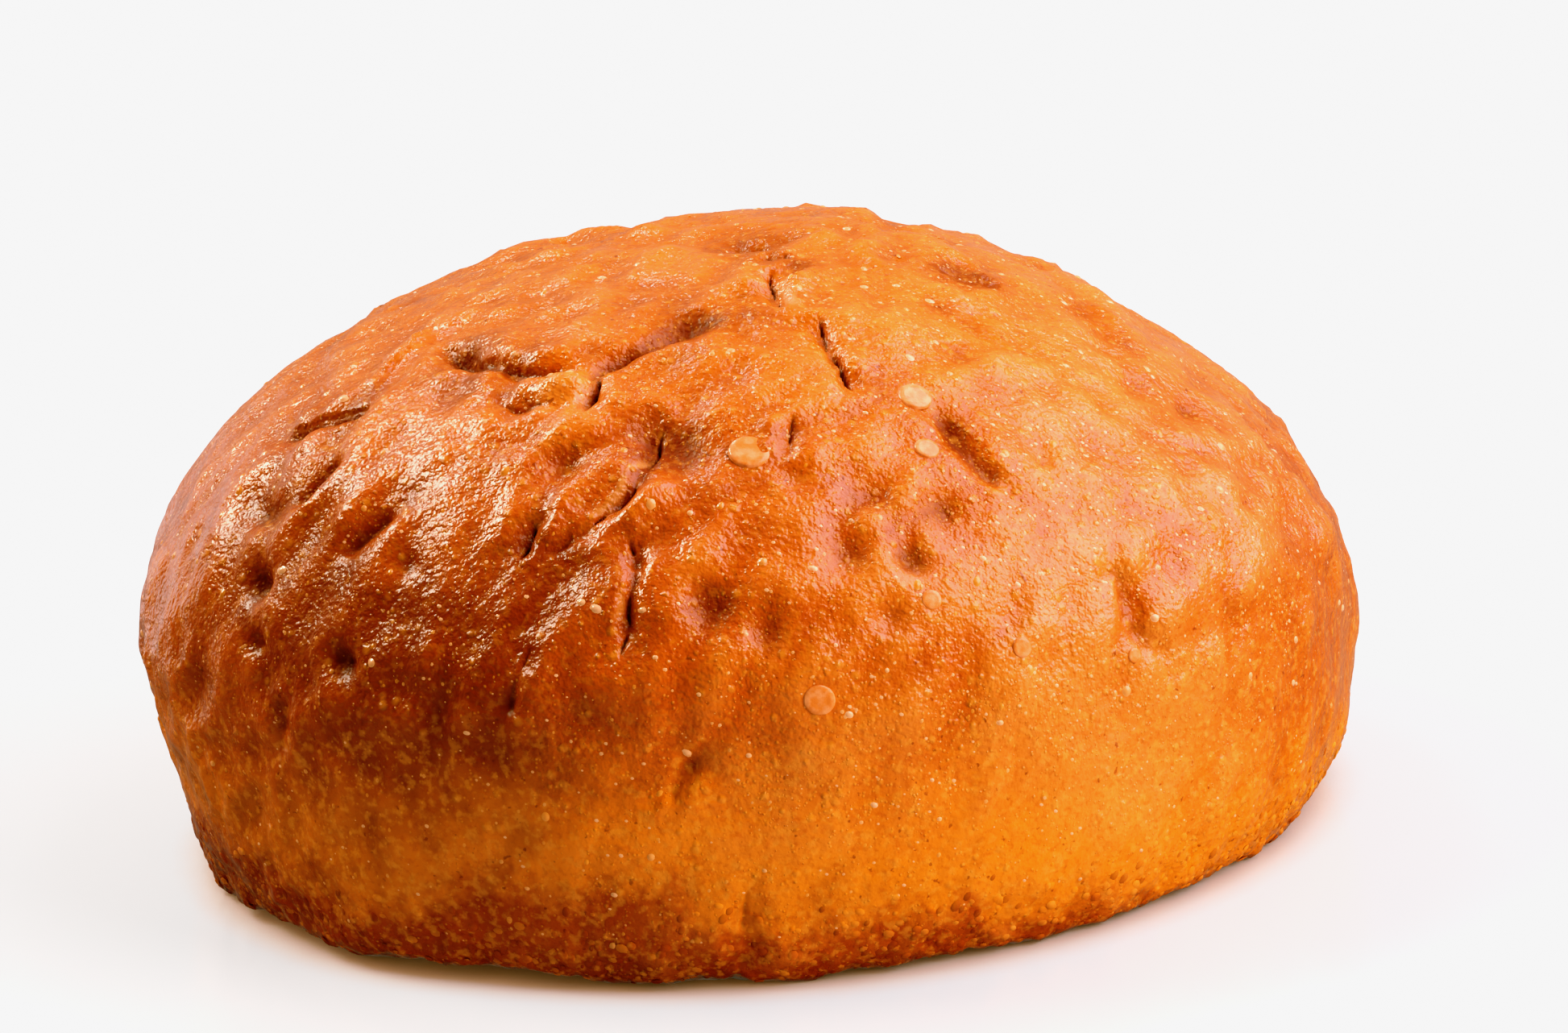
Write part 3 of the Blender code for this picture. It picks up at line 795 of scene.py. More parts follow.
def split_near_creases(bm, reach):
    """Halves the edges that end within reach of a crease, and puts the new points on the smooth bun."""
    points = points_in(bm)
    near = np.zeros(len(points), bool)
    for line in LINES:
        some = near_line(points, line, reach)
        near[some] |= distance_to_line(points[some], line)[0] < reach
    near &= points[:, 2] > TRAY_CLEARANCE
    bm.verts.index_update()
    edges = [e for e in bm.edges if near[e.verts[0].index] or near[e.verts[1].index]]
    known = len(points)
    bmesh.ops.subdivide_edges(bm, edges=edges, cuts=1, use_grid_fill=True)
    added = points_in(bm)
    added[known:] = smooth_points(unit(added[known:] - HEART_POINT))
    place(bm, added)


split_near_creases(grid, CREASE_SPLIT_REACH)
split_near_creases(grid, CORE_SPLIT_REACH)
bmesh.ops.triangulate(grid, faces=[f for f in grid.faces if len(f.verts) > 4])
print("split crust:", len(grid.verts), "points,", sum(len(f.verts) - 2 for f in grid.faces), "triangles")

# %% [markdown]
# ### The heights that the solid has too
#
# These heights are added along the outward normal: slow swells of the whole loaf, lumps where the dough
# spread over the tray, the creases and the dents. They are worked out by the same rules as in the solid, so
# the fine crust follows it everywhere. A displacement modifier with a texture could do the same, but rules
# in code keep each mark in its place.

# %% Broad relief
SWELLS = [(16.0 * MM, 0.7 * MM), (7.0 * MM, 0.3 * MM)]
RIM_LUMP_SIZE = 3.6 * MM
RIM_LUMP_HEIGHT = 0.45 * MM
RIM_LUMP_REACH = 5.0 * MM
LIP_PLACE, LIP_SPREAD = 1.3, 0.5
DENT_FALL = 1.6
SEEN_WIDTHS = 3
FINE_DEPTH_SHARE = 0.5
FINE_WIDTH_SHARE = 0.75
STEP_START = 0.5 * MM


def noise_at(points, size):
    """Smooth noise at each point, from about -1 to 1, with features of about that size."""
    return np.array([noise.noise(Vector(p) / size) for p in points])


def crease_heights(points, crease, line):
    """What a crease adds to the height of the skin at each point, mostly below zero."""
    heights = np.zeros(len(points))
    some = near_line(points, line, SEEN_WIDTHS * crease.half_width)
    away, share, side = distance_to_line(points[some], line)
    fade = ease(np.minimum(share, 1 - share) / CREASE_TAPER)
    groove = ease(1 - away / (crease.half_width * FINE_WIDTH_SHARE))
    lip = np.exp(-(((away / crease.half_width - LIP_PLACE) / LIP_SPREAD) ** 2))
    step = side * ease(away / STEP_START) * np.exp(-((away / crease.half_width) ** 2))
    heights[some] = fade * (
        crease.lip * lip - crease.depth * FINE_DEPTH_SHARE * groove + crease.step * step
    )
    return heights


def dent_heights(points, dent):
    """What a round hollow or bump adds to the height of the skin at each point."""
    centre = smooth_points(ways_of([dent.turn], [dent.rise]))
    away = np.linalg.norm(points - centre, axis=1) / dent.radius
    return -dent.depth * np.exp(-DENT_FALL * away**2)


def swell_heights(points):
    """The slow swells of the whole loaf."""
    return sum(height * noise_at(points, size) for size, height in SWELLS)


def rim_heights(points):
    """The lumps along the rim."""
    lumps = noise_at(points * (1, 1, 0), RIM_LUMP_SIZE)
    return RIM_LUMP_HEIGHT * lumps * ease(1 - points[:, 2] / RIM_LUMP_REACH)


smooth = points_in(grid)
smooth_normals = outward(unit(smooth - HEART_POINT))
marks = sum(crease_heights(smooth, crease, line) for crease, line in zip(CREASES, LINES))
marks += sum(dent_heights(smooth, dent) for dent in DENTS)
broad = marks + swell_heights(smooth) + rim_heights(smooth)
print("broad relief in mm, lowest and highest:", (np.array([broad.min(), broad.max()]) / MM).round(2))

# %% [markdown]
# ### The sharp bottoms of the creases
#
# Where the skin tore, the bottom of a crease is narrow, ragged and nearly black with shadow. It gets a
# second, much narrower groove. Its line is shaken by noise so that it doesn't look drawn with a pen, and
# one side stands a little higher than the other, like the edge of torn paper. The noise that gives
# directions, unlike the plain one, starts from the clock if it has no seed, so it gets one.

# %% Torn cores
CORE_HALF_WIDTH = 0.22 * MM
SHAKES = [(3.0 * MM, 0.45 * MM), (1.1 * MM, 0.18 * MM)]
EDGE_PLACE, EDGE_SPREAD = 1.7, 0.6
EDGE_SHARE = 0.1
CORE_TAPER = 0.18
DARKEST_CORE = 0.6 * MM
SHAKE_SEED = 3
noise.seed_set(SHAKE_SEED)


def shaken(points):
    """The points moved about a little, each like its neighbours."""
    moved = points.copy()
    for size, reach in SHAKES:
        moved += [reach * noise.noise_vector(Vector(p) / size) for p in points]
    return moved


def core_heights(points, crease, line):
    """(height that the sharp core adds at each point, how far the point is in the core from 0 to 1)."""
    heights, depth_share = np.zeros(len(points)), np.zeros(len(points))
    some = near_line(points, line, SEEN_WIDTHS * CORE_HALF_WIDTH)
    away, share, _ = distance_to_line(shaken(points[some]), line)
    fade = ease(np.minimum(share, 1 - share) / CORE_TAPER)
    groove = ease(1 - away / CORE_HALF_WIDTH)
    edge = np.exp(-(((away / CORE_HALF_WIDTH - EDGE_PLACE) / EDGE_SPREAD) ** 2))
    heights[some] = crease.core * fade * (EDGE_SHARE * edge - groove)
    depth_share[some] = fade * groove
    return heights, depth_share


cores = np.zeros(len(smooth))
core_depths = np.zeros(len(smooth))
for crease, line in zip(CREASES, LINES):
    if crease.core:
        heights, depth_share = core_heights(smooth, crease, line)
        cores += heights
        core_depths = np.maximum(core_depths, depth_share * np.clip(crease.core / DARKEST_CORE, 0, 1))
print("deepest core in mm:", round(cores.min() / MM, 2))

# %% [markdown]
# ### Skin bared beside the tears
#
# When a crease opened late, it pulled new skin out from under the old. That skin had little time in the
# heat: it is smooth and pale. Each such strip is a path with a width, like a crease.

# %% Bared strips
class Strip(NamedTuple):
    """A narrow strip of paler skin, bared beside a tear."""

    path: list
    half_width: float
    paleness: float


STRIP_EDGE, STRIP_FALL = 1.6, 1.2
BARE_STRIPS = {
    "beside the middle crack": Strip(
        [(-10.2, 26), (-11.4, 23.6), (-12.4, 21.7), (-13.8, 19.6), (-15.4, 18)], 0.38 * MM, 0.7,
    ),
    "beside the crown tear": Strip([(14.5, 55), (14, 51.5), (15, 48)], 0.6 * MM, 0.9),
    "beside the standing crease": Strip([(-11.4, 14), (-11.2, 11), (-11.6, 8)], 0.28 * MM, 0.4),
}


def bareness(points):
    """How far each point is on a strip of bare skin, from 0 to 1."""
    bare = np.zeros(len(points))
    moved = shaken(points)
    for strip in BARE_STRIPS.values():
        away, share, _ = distance_to_line(moved, curve_through(strip.path))
        ends = ease(np.minimum(share, 1 - share) / CORE_TAPER)
        on_strip = ease(STRIP_EDGE - STRIP_FALL * away / strip.half_width)
        bare = np.maximum(bare, strip.paleness * ends * on_strip)
    return bare


print(len(BARE_STRIPS), "strips of bared skin")

# %% [markdown]
# ### Flat blisters
#
# In a few places the glaze lifted off in one large, flat blister of two or three millimetres. Their places
# are needed already here, because the crust under a blister is smooth.

# %% Places of the blisters
class Blister(NamedTuple):
    """A flat blister: its place and radius."""

    turn: float
    rise: float
    radius: float


BLISTERS = [
    Blister(2.0, 24.9, 1.6 * MM),
    Blister(25.3, 29.9, 1.4 * MM),
    Blister(23.1, 23.1, 1.0 * MM),
    Blister(6.3, 0.9, 1.2 * MM),
    Blister(25.6, 2.8, 0.8 * MM),
    Blister(37.4, -0.2, 0.6 * MM),
    Blister(17.9, 8.2, 0.8 * MM),
    Blister(128, 24, 1.5 * MM),
    Blister(131, 20, 0.8 * MM),
    Blister(171, 42, 1.2 * MM),
    Blister(-155, 12, 1.0 * MM),
    Blister(-118, 33, 1.4 * MM),
]


def flatness(points):
    """From 0 to 1, how far each point lies under a blister."""
    under = np.zeros(len(points))
    for blister in BLISTERS:
        centre = smooth_points(ways_of([blister.turn], [blister.rise]))
        away = np.linalg.norm(points - centre, axis=1) / blister.radius
        under = np.maximum(under, ease(2 - away))
    return under


print(len(BLISTERS), "flat blisters")

# %% [markdown]
# ### Leathery skin
#
# A glazed crust isn't smooth between its creases. It is leathery, with shallow dimples of one to three
# millimetres, and beside the creases it is puckered. The dimples and the puckers are in the mesh, because
# they break up the outline and the highlights; what is finer than the cells is left to the material's bump.

# %% Patches
class Patch(NamedTuple):
    """A round area where something is stronger, or weaker where the strength is negative."""

    turn: float
    rise: float
    radius: float
    strength: float


def patches(rows):
    """Patches from rows of turn, rise, radius in mm and strength."""
    return [Patch(turn, rise, radius * MM, strength) for turn, rise, radius, strength in rows]


def patched(points, areas):
    """The strengths of the patches, added up at each point."""
    total = np.zeros(len(points))
    for patch in areas:
        centre = smooth_points(ways_of([patch.turn], [patch.rise]))
        away = np.linalg.norm(points - centre, axis=1) / patch.radius
        total += patch.strength * np.exp(-(away**2))
    return total


three_places = smooth_points(ways_of([0, 4, 8], [0, 0, 0]))
print("a patch fades out smoothly:", patched(three_places, [Patch(0, 0, 4 * MM, 1)]).round(2))

# %% Skin relief
LEATHER = [(3.4 * MM, 0.60 * MM), (1.7 * MM, 0.36 * MM)]
LEATHER_SIZE = 7.0 * MM
CRUMPLE = (4.0 * MM, 0.55 * MM)
CRUMPLED = patches([
    (-42, 24, 26, 0.9), (-10, 48, 18, 0.6), (30, 62, 14, 0.5), (20, 14, 12, 0.45),
    (-58, -6, 14, 0.6), (140, 45, 20, 0.7), (-150, 32, 26, 0.9),
])
SMOOTHEST, ROUGHEST = 0.4, 1.1
FOOT_GRAIN = (1.2 * MM, 0.30 * MM)
FOOT_GRAIN_TOP = 8.0 * MM
PULL = np.array([0.55, 0.25, 0.8])
PULL_SHARE = 0.5
PUCKER_SIZE = 1.9 * MM
PUCKER_HEIGHT = 0.16 * MM
PUCKER_REACH = 4.0 * MM
WALL_LEATHER, WALL_TOP, WALL_FADE = 0.5, 14 * MM, 10 * MM
ROUGHER_SHIFT = 0.6
RIDGE_LEVEL = 0.5
BARE_SMOOTHNESS = 0.85
FOOT_GRAIN_EDGE = 1.6


def puckers(points, size):
    """Sharp ridges and round valleys of about that size, all over the points."""
    return 1 - 2 * np.abs(noise_at(points, size))


def nearness_to_creases(points):
    """From 0 to 1, how near each point is to a crease."""
    nearness = np.zeros(len(points))
    for line in LINES:
        some = near_line(points, line, PUCKER_REACH)
        away = distance_to_line(points[some], line)[0]
        nearness[some] = np.maximum(nearness[some], ease(1 - away / PUCKER_REACH))
    return nearness


def pulled(points):
    """The points squeezed along the way in which the dough was pulled, so that noise there is drawn out."""
    way = PULL / np.linalg.norm(PULL)
    return points - PULL_SHARE * (points @ way)[:, None] * way


leather = sum(height * noise_at(pulled(smooth), size) for size, height in LEATHER)
leather *= SMOOTHEST + (ROUGHEST - SMOOTHEST) * ease(noise_at(smooth, LEATHER_SIZE) + ROUGHER_SHIFT)
leather *= WALL_LEATHER + (1 - WALL_LEATHER) * ease((smooth[:, 2] - WALL_TOP) / WALL_FADE)
pucker_ridges = puckers(smooth, PUCKER_SIZE) - RIDGE_LEVEL
leather += PUCKER_HEIGHT * pucker_ridges * nearness_to_creases(smooth)
crumple_ridges = puckers(pulled(smooth), CRUMPLE[0]) - RIDGE_LEVEL
leather += CRUMPLE[1] * crumple_ridges * np.clip(patched(smooth, CRUMPLED), 0, 1)
leather *= 1 - BARE_SMOOTHNESS * bareness(smooth)
leather *= 1 - flatness(smooth)
at_foot = ease(FOOT_GRAIN_EDGE - FOOT_GRAIN_EDGE * smooth[:, 2] / FOOT_GRAIN_TOP)
leather += FOOT_GRAIN[1] * noise_at(smooth, FOOT_GRAIN[0]) * at_foot
print("leathery relief in mm:", round(float(np.ptp(leather)) / MM, 2))

# %% [markdown]
# ### The crust as a mesh
#
# Now the heights are added up and the points moved. The underside stays on the tray: it only has shallow
# hollows where it didn't quite touch. At the end nothing may stand outside the box of the solid, so the
# last hair's breadth is trimmed. A tree of the solid's faces then tells how far the two skins are apart.

# %% Shape the crust
SEAT = np.array([HEART[0], HEART[1], 0])
LOWEST, HIGHEST = np.array(SOLID_BOX)
TRAY_RELIEF_SIZE = 3.5 * MM
TRAY_RELIEF_HEIGHT = 0.3 * MM
TRAY_RELIEF_FADE = 0.3 * HALF_WIDTH
ON_TRAY = 1e-7
MEASURED_EACH = 7


def crust_points():
    """The finished points of the crust."""
    points = smooth + smooth_normals * (broad + cores + leather)[:, None]
    under = smooth[:, 2] < ON_TRAY
    flat = smooth[under]
    inside = ease((HALF_WIDTH - np.linalg.norm(flat, axis=1)) / TRAY_RELIEF_FADE)
    points[under] = flat
    points[under, 2] = TRAY_RELIEF_HEIGHT * inside * np.maximum(noise_at(flat, TRAY_RELIEF_SIZE), 0)
    points[:, 2] = np.maximum(points[:, 2], 0)
    return np.clip(points + SEAT, LOWEST, HIGHEST)


def tree_of(piece):
    """A search tree over the faces of an object."""
    mesh = piece.data
    return BVHTree.FromPolygons([v.co for v in mesh.vertices], [p.vertices for p in mesh.polygons])


place(grid, crust_points())
bmesh.ops.recalc_face_normals(grid, faces=grid.faces[:])
crust_mesh = bpy.data.meshes.new("crust")
grid.to_mesh(crust_mesh)
grid.free()
crust_mesh.shade_smooth()
crust = bpy.data.objects.new("crust", crust_mesh)
scene.collection.objects.link(crust)
solid_tree = tree_of(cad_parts["bun"])
apart = [solid_tree.find_nearest(v.co)[3] for v in list(crust_mesh.vertices)[::MEASURED_EACH]]
print("crust:", len(crust_mesh.vertices), "points; from the solid at most", round(max(apart) / MM, 2), "mm,",
      "on average", round(sum(apart) / len(apart) / MM, 3), "mm")

# %% [markdown]
# ## What the colours follow
#
# A crust is darkest where it was nearest to the heat, and palest where the skin stretched late or tore. Its
# hollows are darkened with painted shade, and some patches paint shade or light as well. So the material
# needs to know more than the place of a point. Some numbers are stored with each point of the mesh: how
# hollow it is, how torn, how bare, how much browner than its surroundings, painted shade included, how frothy
# its glaze is, how high it lies, and how far the bands of colour are shifted there.

# %% Numbers for the colours
# Patches where the skin is browner, or paler where the strength is negative. Some are browner skin, but many
# are painted shade: the small ones at dents and creases and the large ones over the shaded left side. The
# paler ones on the lit right side are partly painted light.
BROWN_SHADE_AND_LIGHT_PATCHES = patches([
    (-19, 10, 7, 0.8), (-37, 8, 10, 0.65), (-52, 12, 9, 0.35), (-30, -2, 10, 0.5),
    (-52, -12, 15, 0.55), (-82, -12, 13, 0.4), (-7, 26, 4, 0.5), (-40, 36, 6, 0.3),
    (-9, 46, 5, 0.35), (27, 23, 4, 0.3), (150, 18, 13, 0.45), (-140, 30, 11, 0.35),
    (-14, 6, 3, -0.4), (-22, 34, 2.5, -0.6), (-55, 26.5, 2.6, 0.5), (-61, 23.5, 2.6, 0.5),
    (12, 79.5, 3.0, 0.45), (31, 76, 2.5, 0.45), (18, 65, 2.2, 0.8), (26, 60.5, 2.0, 0.7),
    (63, 51, 2.4, 0.8), (67, 46, 2.6, 0.9), (78, 33.5, 2.5, 0.7), (72.5, 29, 2.3, 0.6),
    (45, 44, 1.6, 0.7), (47, 39.3, 1.5, 0.5), (37.7, 35.2, 1.8, 0.6), (36.5, 29.2, 1.8, 0.5),
    (65, 24.2, 1.6, 0.5), (68.6, 18.8, 1.5, 0.5), (-8, 48.3, 3.0, 0.2), (0, 47.5, 3.0, 0.4),
    (6, 48, 2.5, 0.25), (-34, 38.5, 2.5, 0.4), (-46, 39, 2.5, 0.5), (28, 24.5, 2.2, 0.6),
    (20.5, 30.5, 2.0, 0.6), (7.5, 26, 1.8, 0.5), (-3, 28, 2.4, 0.2), (45, 22, 17, -0.25),
    (95, 25, 18, -0.30), (-20, 0, 6, 0.45), (8, -3, 9, -0.2), (27, 3, 9, -0.3), (2, -7, 6, -0.2),
    (88, -8, 12, -0.15), (42, -9, 10, -0.4), (30, -10, 8, -0.25), (-100, 25, 12, -0.25),
    (-175, 5, 12, -0.3),
])
HOLLOW_DEPTH = 1.0 * MM
FROTH_PATCHES = patches([
    (36, 30, 19, 0.9), (-46, 24, 11, 0.8), (-12, 34, 9, 0.4), (48, 4, 13, 0.35), (8, -6, 9, 0.3),
    (110, 30, 15, 0.6), (165, 40, 17, 0.8), (-125, 26, 15, 0.7), (-20, 10, 8, -0.5),
    (-30, -4, 12, -0.4),
])
FROTH_DRIFT = 4.5 * MM
# Painted shade: the valleys of the leathery relief are drawn browner and its ridges paler.
VALLEY_SHADE, VALLEY_DEPTH = 0.25, 0.35 * MM
# Dents broader than this get no painted shade in their hollows.
BROADEST_SHADED = 4.5 * MM
THINNEST_FROTH, FROTH_DRIFT_SHARE = 0.15, 0.7


class BandShift(NamedTuple):
    """Where the bands of colour dip or rise: the middle and the half width in degrees, and how far."""

    turn: float
    spread: float
    lift: float


BAND_SHIFTS = [BandShift(66.0, 46.0, 6.5 * MM), BandShift(-10.0, 22.0, -1.6 * MM)]


def frothiness(points):
    """How thick the bubbles stand at each point, from 0 to 1."""
    drifts = FROTH_DRIFT_SHARE * noise_at(points, FROTH_DRIFT)
    return np.clip(THINNEST_FROTH + patched(points, FROTH_PATCHES) + drifts, 0, 1)


def band_shifts(points):
    """How much higher each point is counted in the bands of colour, which dip and rise around the bun."""
    turns = turns_of(unit(points - HEART_POINT))
    return sum(s.lift * np.exp(-(((turns - s.turn) / s.spread) ** 2)) for s in BAND_SHIFTS)


broad_hollows = sum(dent_heights(smooth, dent) for dent in DENTS if dent.radius > BROADEST_SHADED)
colour_numbers = {
    # How hollow each point is: it paints shade into the hollows, makes them duller and thins the bubbles
    # there.
    "hollow": np.clip(-(marks + cores - broad_hollows) / HOLLOW_DEPTH, 0, 1),
    "core": core_depths,
    "bare": bareness(smooth),
    # How much browner: the patches, partly painted shade and light, plus painted shade in the valleys of the
    # relief.
    "brown": patched(smooth, BROWN_SHADE_AND_LIGHT_PATCHES) - VALLEY_SHADE * np.clip(leather / VALLEY_DEPTH, -1, 1),
    "froth": frothiness(smooth),
    "height": smooth[:, 2],
    "band shift": band_shifts(smooth),
}


def store_numbers(mesh, numbers):
    """Stores one number for each point of a mesh under each name."""
    for name, values in numbers.items():
        layer = mesh.attributes.new(name, "FLOAT", "POINT")
        layer.data.foreach_set("value", np.asarray(values, np.float32))


store_numbers(crust_mesh, colour_numbers)
print({name: (round(v.min(), 2), round(v.max(), 2)) for name, v in colour_numbers.items()})

# %% [markdown]
# ## The colours of the crust
#
# A potato bun is glazed, so it bakes from pale gold at the side, where the dough spread last, to a deep
# orange brown on top. The foot is brown and grainy again where it stood on the tray. The colour could be
# painted by hand, but a ramp over the height, shaken by noise, gives such bands all the way round. Where
# they dip or rise in the picture, the height is counted a little higher or lower.
#
# First two small helpers: one adds a node and fills its sockets, one mixes two colours.

# %% Node helpers
def add_node(tree, kind, inputs=None, **settings):
    """A shader node with its settings. Each input is given a value, or is joined to a socket."""
    node = tree.nodes.new("ShaderNode" + kind)
    for name, value in settings.items():
        setattr(node, name, value)
    for name, value in (inputs or {}).items():
        if isinstance(value, bpy.types.NodeSocket):
            tree.links.new(value, node.inputs[name])
        else:
            node.inputs[name].default_value = value
    return node


def mixed(tree, share, first, second, blend="MIX"):
    """A colour that goes from the first to the second as the share goes from 0 to 1."""
    first, second = ((*c, 1) if isinstance(c, tuple) and len(c) == 3 else c for c in (first, second))
    inputs = {MIX_SHARE: share, MIX_FIRST: first, MIX_SECOND: second}
    return add_node(tree, "Mix", inputs, data_type="RGBA", blend_type=blend).outputs[MIX_RESULT]


def number(tree, operation, *values):
    """The result of a sum with sockets and numbers."""
    return add_node(tree, "Math", dict(enumerate(values)), operation=operation).outputs[0]


def between(tree, value, low, high, start=0.0, end=1.0):
    """The value spread out, so that low gives start and high gives end, with soft ends."""
    inputs = {"Value": value, "From Min": low, "From Max": high, "To Min": start, "To Max": end}
    return add_node(tree, "MapRange", inputs, interpolation_type="SMOOTHSTEP").outputs[0]


def grain(tree, place_socket, size, detail=2.0):
    """Noise from 0 to 1 with features of about that size."""
    inputs = {"Vector": place_socket, "Scale": 1 / size, "Detail": detail}
    return add_node(tree, "TexNoise", inputs).outputs["Fac"]


def stored(tree, name):
    """A number that is stored with the points."""
    return add_node(tree, "Attribute", attribute_name=name).outputs["Fac"]


print("helpers ready")

# %% Bands of colour
RIM_BROWN = (0.27, 0.036, 0.002)
FOOT_BROWN = (0.42, 0.052, 0.001)
GOLD = (0.84, 0.192, 0.008)
AMBER = (0.69, 0.130, 0.003)
CHESTNUT = (0.54, 0.085, 0.003)
DEEP_BROWN = (0.16, 0.014, 0.001)
BARE_SKIN = (0.70, 0.24, 0.08)
PALE_FLECK = (0.86, 0.30, 0.055)
PORE_TINT = (0.80, 0.62, 0.40)
# Partly painted light: paler skin where the stored brown is below zero.
PALE_AND_LIT_SKIN = (0.85, 0.235, 0.050)
BANDS = [
    (0.0, RIM_BROWN),
    (3.5, FOOT_BROWN),
    (5.5, FOOT_BROWN),
    (8.5, GOLD),
    (11.5, GOLD),
    (16.0, AMBER),
    (21.0, CHESTNUT),
    (38.0, CHESTNUT),
    (50.0, AMBER),
]
BAND_TOP = 55.0
BORDER_NOISE = [(14 * MM, 9.0), (4 * MM, 6.0), (1.2 * MM, 5.0)]


def band_colour(tree, place_socket):
    """The colour by height, with wavy and frayed borders between the bands."""
    height = add_node(tree, "SeparateXYZ", {0: place_socket}).outputs["Z"]
    height = number(tree, "ADD", height, stored(tree, "band shift"))
    height = number(tree, "MULTIPLY", height, 1 / (BAND_TOP * MM))
    for size, reach in BORDER_NOISE:
        shift = number(tree, "SUBTRACT", grain(tree, place_socket, size), 0.5)
        height = number(tree, "MULTIPLY_ADD", shift, reach / BAND_TOP, height)
    ramp = add_node(tree, "ValToRGB", {"Fac": height})
    stops = ramp.color_ramp.elements
    while len(stops) < len(BANDS):
        stops.new(0.5)
    for stop, (level, colour) in zip(stops, BANDS):
        stop.position = level / BAND_TOP
    for stop, (level, colour) in zip(stops, BANDS):
        stop.color = (*colour, 1)
    return ramp.outputs["Color"]


print(len(BANDS), "bands of colour")

# %% [markdown]
# Over the bands lie several layers. Blotches are browner, and so is skin where the stored brown is high,
# which holds painted shade too. The hollows get painted shade. Where the stored brown is below zero the skin
# is paler, partly because it stretched and partly as painted light. The wall is mottled with pale flecks.
# Pores tint it, and a few specks are nearly burnt. Each layer follows noise or a stored number: two levels of
# it are given, and how much of the layer there is at each.

# %% Layers of colour
class Speckle(NamedTuple):
    """A layer that follows noise: its size and detail, two levels of it, and the share at each."""

    size: float
    detail: float
    low: float
    high: float
    share_at_low: float
    share_at_high: float


BLOTCHES = Speckle(3.2 * MM, 5, 0.42, 0.72, 0.0, 1.0)
MOTTLE = Speckle(0.75 * MM, 4, 0.48, 0.68, 0, 0.38)
PORES = Speckle(0.5 * MM, 3, 0.5, 0.3, 0, 0.6)
SPECKS = Speckle(0.7 * MM, 2, 0.25, 0.32, 0.6, 0)
BLOTCH_STRENGTH, BROWNEST = 0.35, 0.75
PALE_BY_BROWN = (0.1, -0.55, 0, 0.6)
# Painted shade: the hollows are darkened towards deep brown.
SHADE_BY_HOLLOW = (0.15, 1.0, 0, 0.7)
MOTTLE_BY_HEIGHT = (24 * MM, 17 * MM, 0.45, 1.0)


def speckled(tree, place_socket, kind):
    """The share of a layer that follows noise."""
    return between(tree, grain(tree, place_socket, kind.size, kind.detail), *kind[2:])


def following(tree, name, levels):
    """A share that follows a stored number, by two levels of it and the share at each."""
    return between(tree, stored(tree, name), *levels)


def crust_colour(tree, place_socket, paler):
    """The whole colour of the crust: bands, patches partly of painted shade and light, painted shade in the
    hollows, flecks and bare skin, and what is paler.
    """
    colour = band_colour(tree, place_socket)
    # Paler where the stored brown is below zero, partly painted light.
    colour = mixed(tree, following(tree, "brown", PALE_BY_BROWN), colour, PALE_AND_LIT_SKIN)
    blotches = speckled(tree, place_socket, BLOTCHES)
    # Darker where the blotches and the stored brown are high; the stored brown holds painted shade too.
    browner = number(tree, "MULTIPLY_ADD", blotches, BLOTCH_STRENGTH, stored(tree, "brown"))
    browner = add_node(tree, "Clamp", {0: browner}).outputs[0]
    colour = mixed(tree, number(tree, "MULTIPLY", browner, BROWNEST), colour, DEEP_BROWN)
    # Painted shade in the hollows.
    colour = mixed(tree, following(tree, "hollow", SHADE_BY_HOLLOW), colour, DEEP_BROWN)
    mottle = speckled(tree, place_socket, MOTTLE)
    mottle = number(tree, "MULTIPLY", mottle, following(tree, "height", MOTTLE_BY_HEIGHT))
    colour = mixed(tree, mottle, colour, PALE_FLECK)
    colour = mixed(tree, speckled(tree, place_socket, PORES), colour, PORE_TINT, "MULTIPLY")
    colour = mixed(tree, speckled(tree, place_socket, SPECKS), colour, DEEP_BROWN)
    colour = mixed(tree, stored(tree, "bare"), colour, BARE_SKIN)
    return mixed(tree, paler, colour, PALE_FLECK)


print("blotches of", BLOTCHES.size / MM, "mm, pores of", PORES.size / MM, "mm")

# %% [markdown]
# ### Bubbles too fine for the mesh
#
# Everywhere in the glaze are bubbles of a fifth of a millimetre. There are far too many of them for a mesh,
# so they go into the material. A Voronoi texture splits space into cells. Each cell also has a random
# colour, and it decides whether the cell holds a bubble and how wide it is. The distance to the middle of
# the cell then gives its dome.

# %% Bubbles in the glaze
class Foam(NamedTuple):
    """Bubbles of one kind: spacing, height, and how many places have one in thin and in thick froth."""

    spacing: float
    height: float
    sparse: float
    dense: float


FROTH = Foam(0.34 * MM, 0.050 * MM, 0.25, 1.0)
BEADS = Foam(1.05 * MM, 0.090 * MM, 0.20, 0.80)
SMALLEST_REACH, WIDEST_REACH = 0.22, 0.50
DOME_SOFTNESS = 1.7
THIN_FROTH, THICK_FROTH = 0.1, 0.9


def foam(tree, place_socket, kind):
    """A dome from 0 to 1 in each cell that holds a bubble."""
    cells = add_node(tree, "TexVoronoi", {"Vector": place_socket, "Scale": 1 / kind.spacing})
    chance = add_node(tree, "SeparateColor", {0: cells.outputs["Color"]})
    wanted = following(tree, "froth", (THIN_FROTH, THICK_FROTH, kind.sparse, kind.dense))
    here = number(tree, "LESS_THAN", chance.outputs[0], wanted)
    reach = between(tree, chance.outputs[1], 0, 1, SMALLEST_REACH, WIDEST_REACH)
    away = number(tree, "DIVIDE", cells.outputs["Distance"], reach)
    dome = number(tree, "SUBTRACT", 1.0, number(tree, "MULTIPLY", away, away))
    dome = number(tree, "POWER", number(tree, "MAXIMUM", dome, 0.0), DOME_SOFTNESS)
    return number(tree, "MULTIPLY", here, dome)


print("froth every", FROTH.spacing / MM, "mm, beads every", BEADS.spacing / MM, "mm")

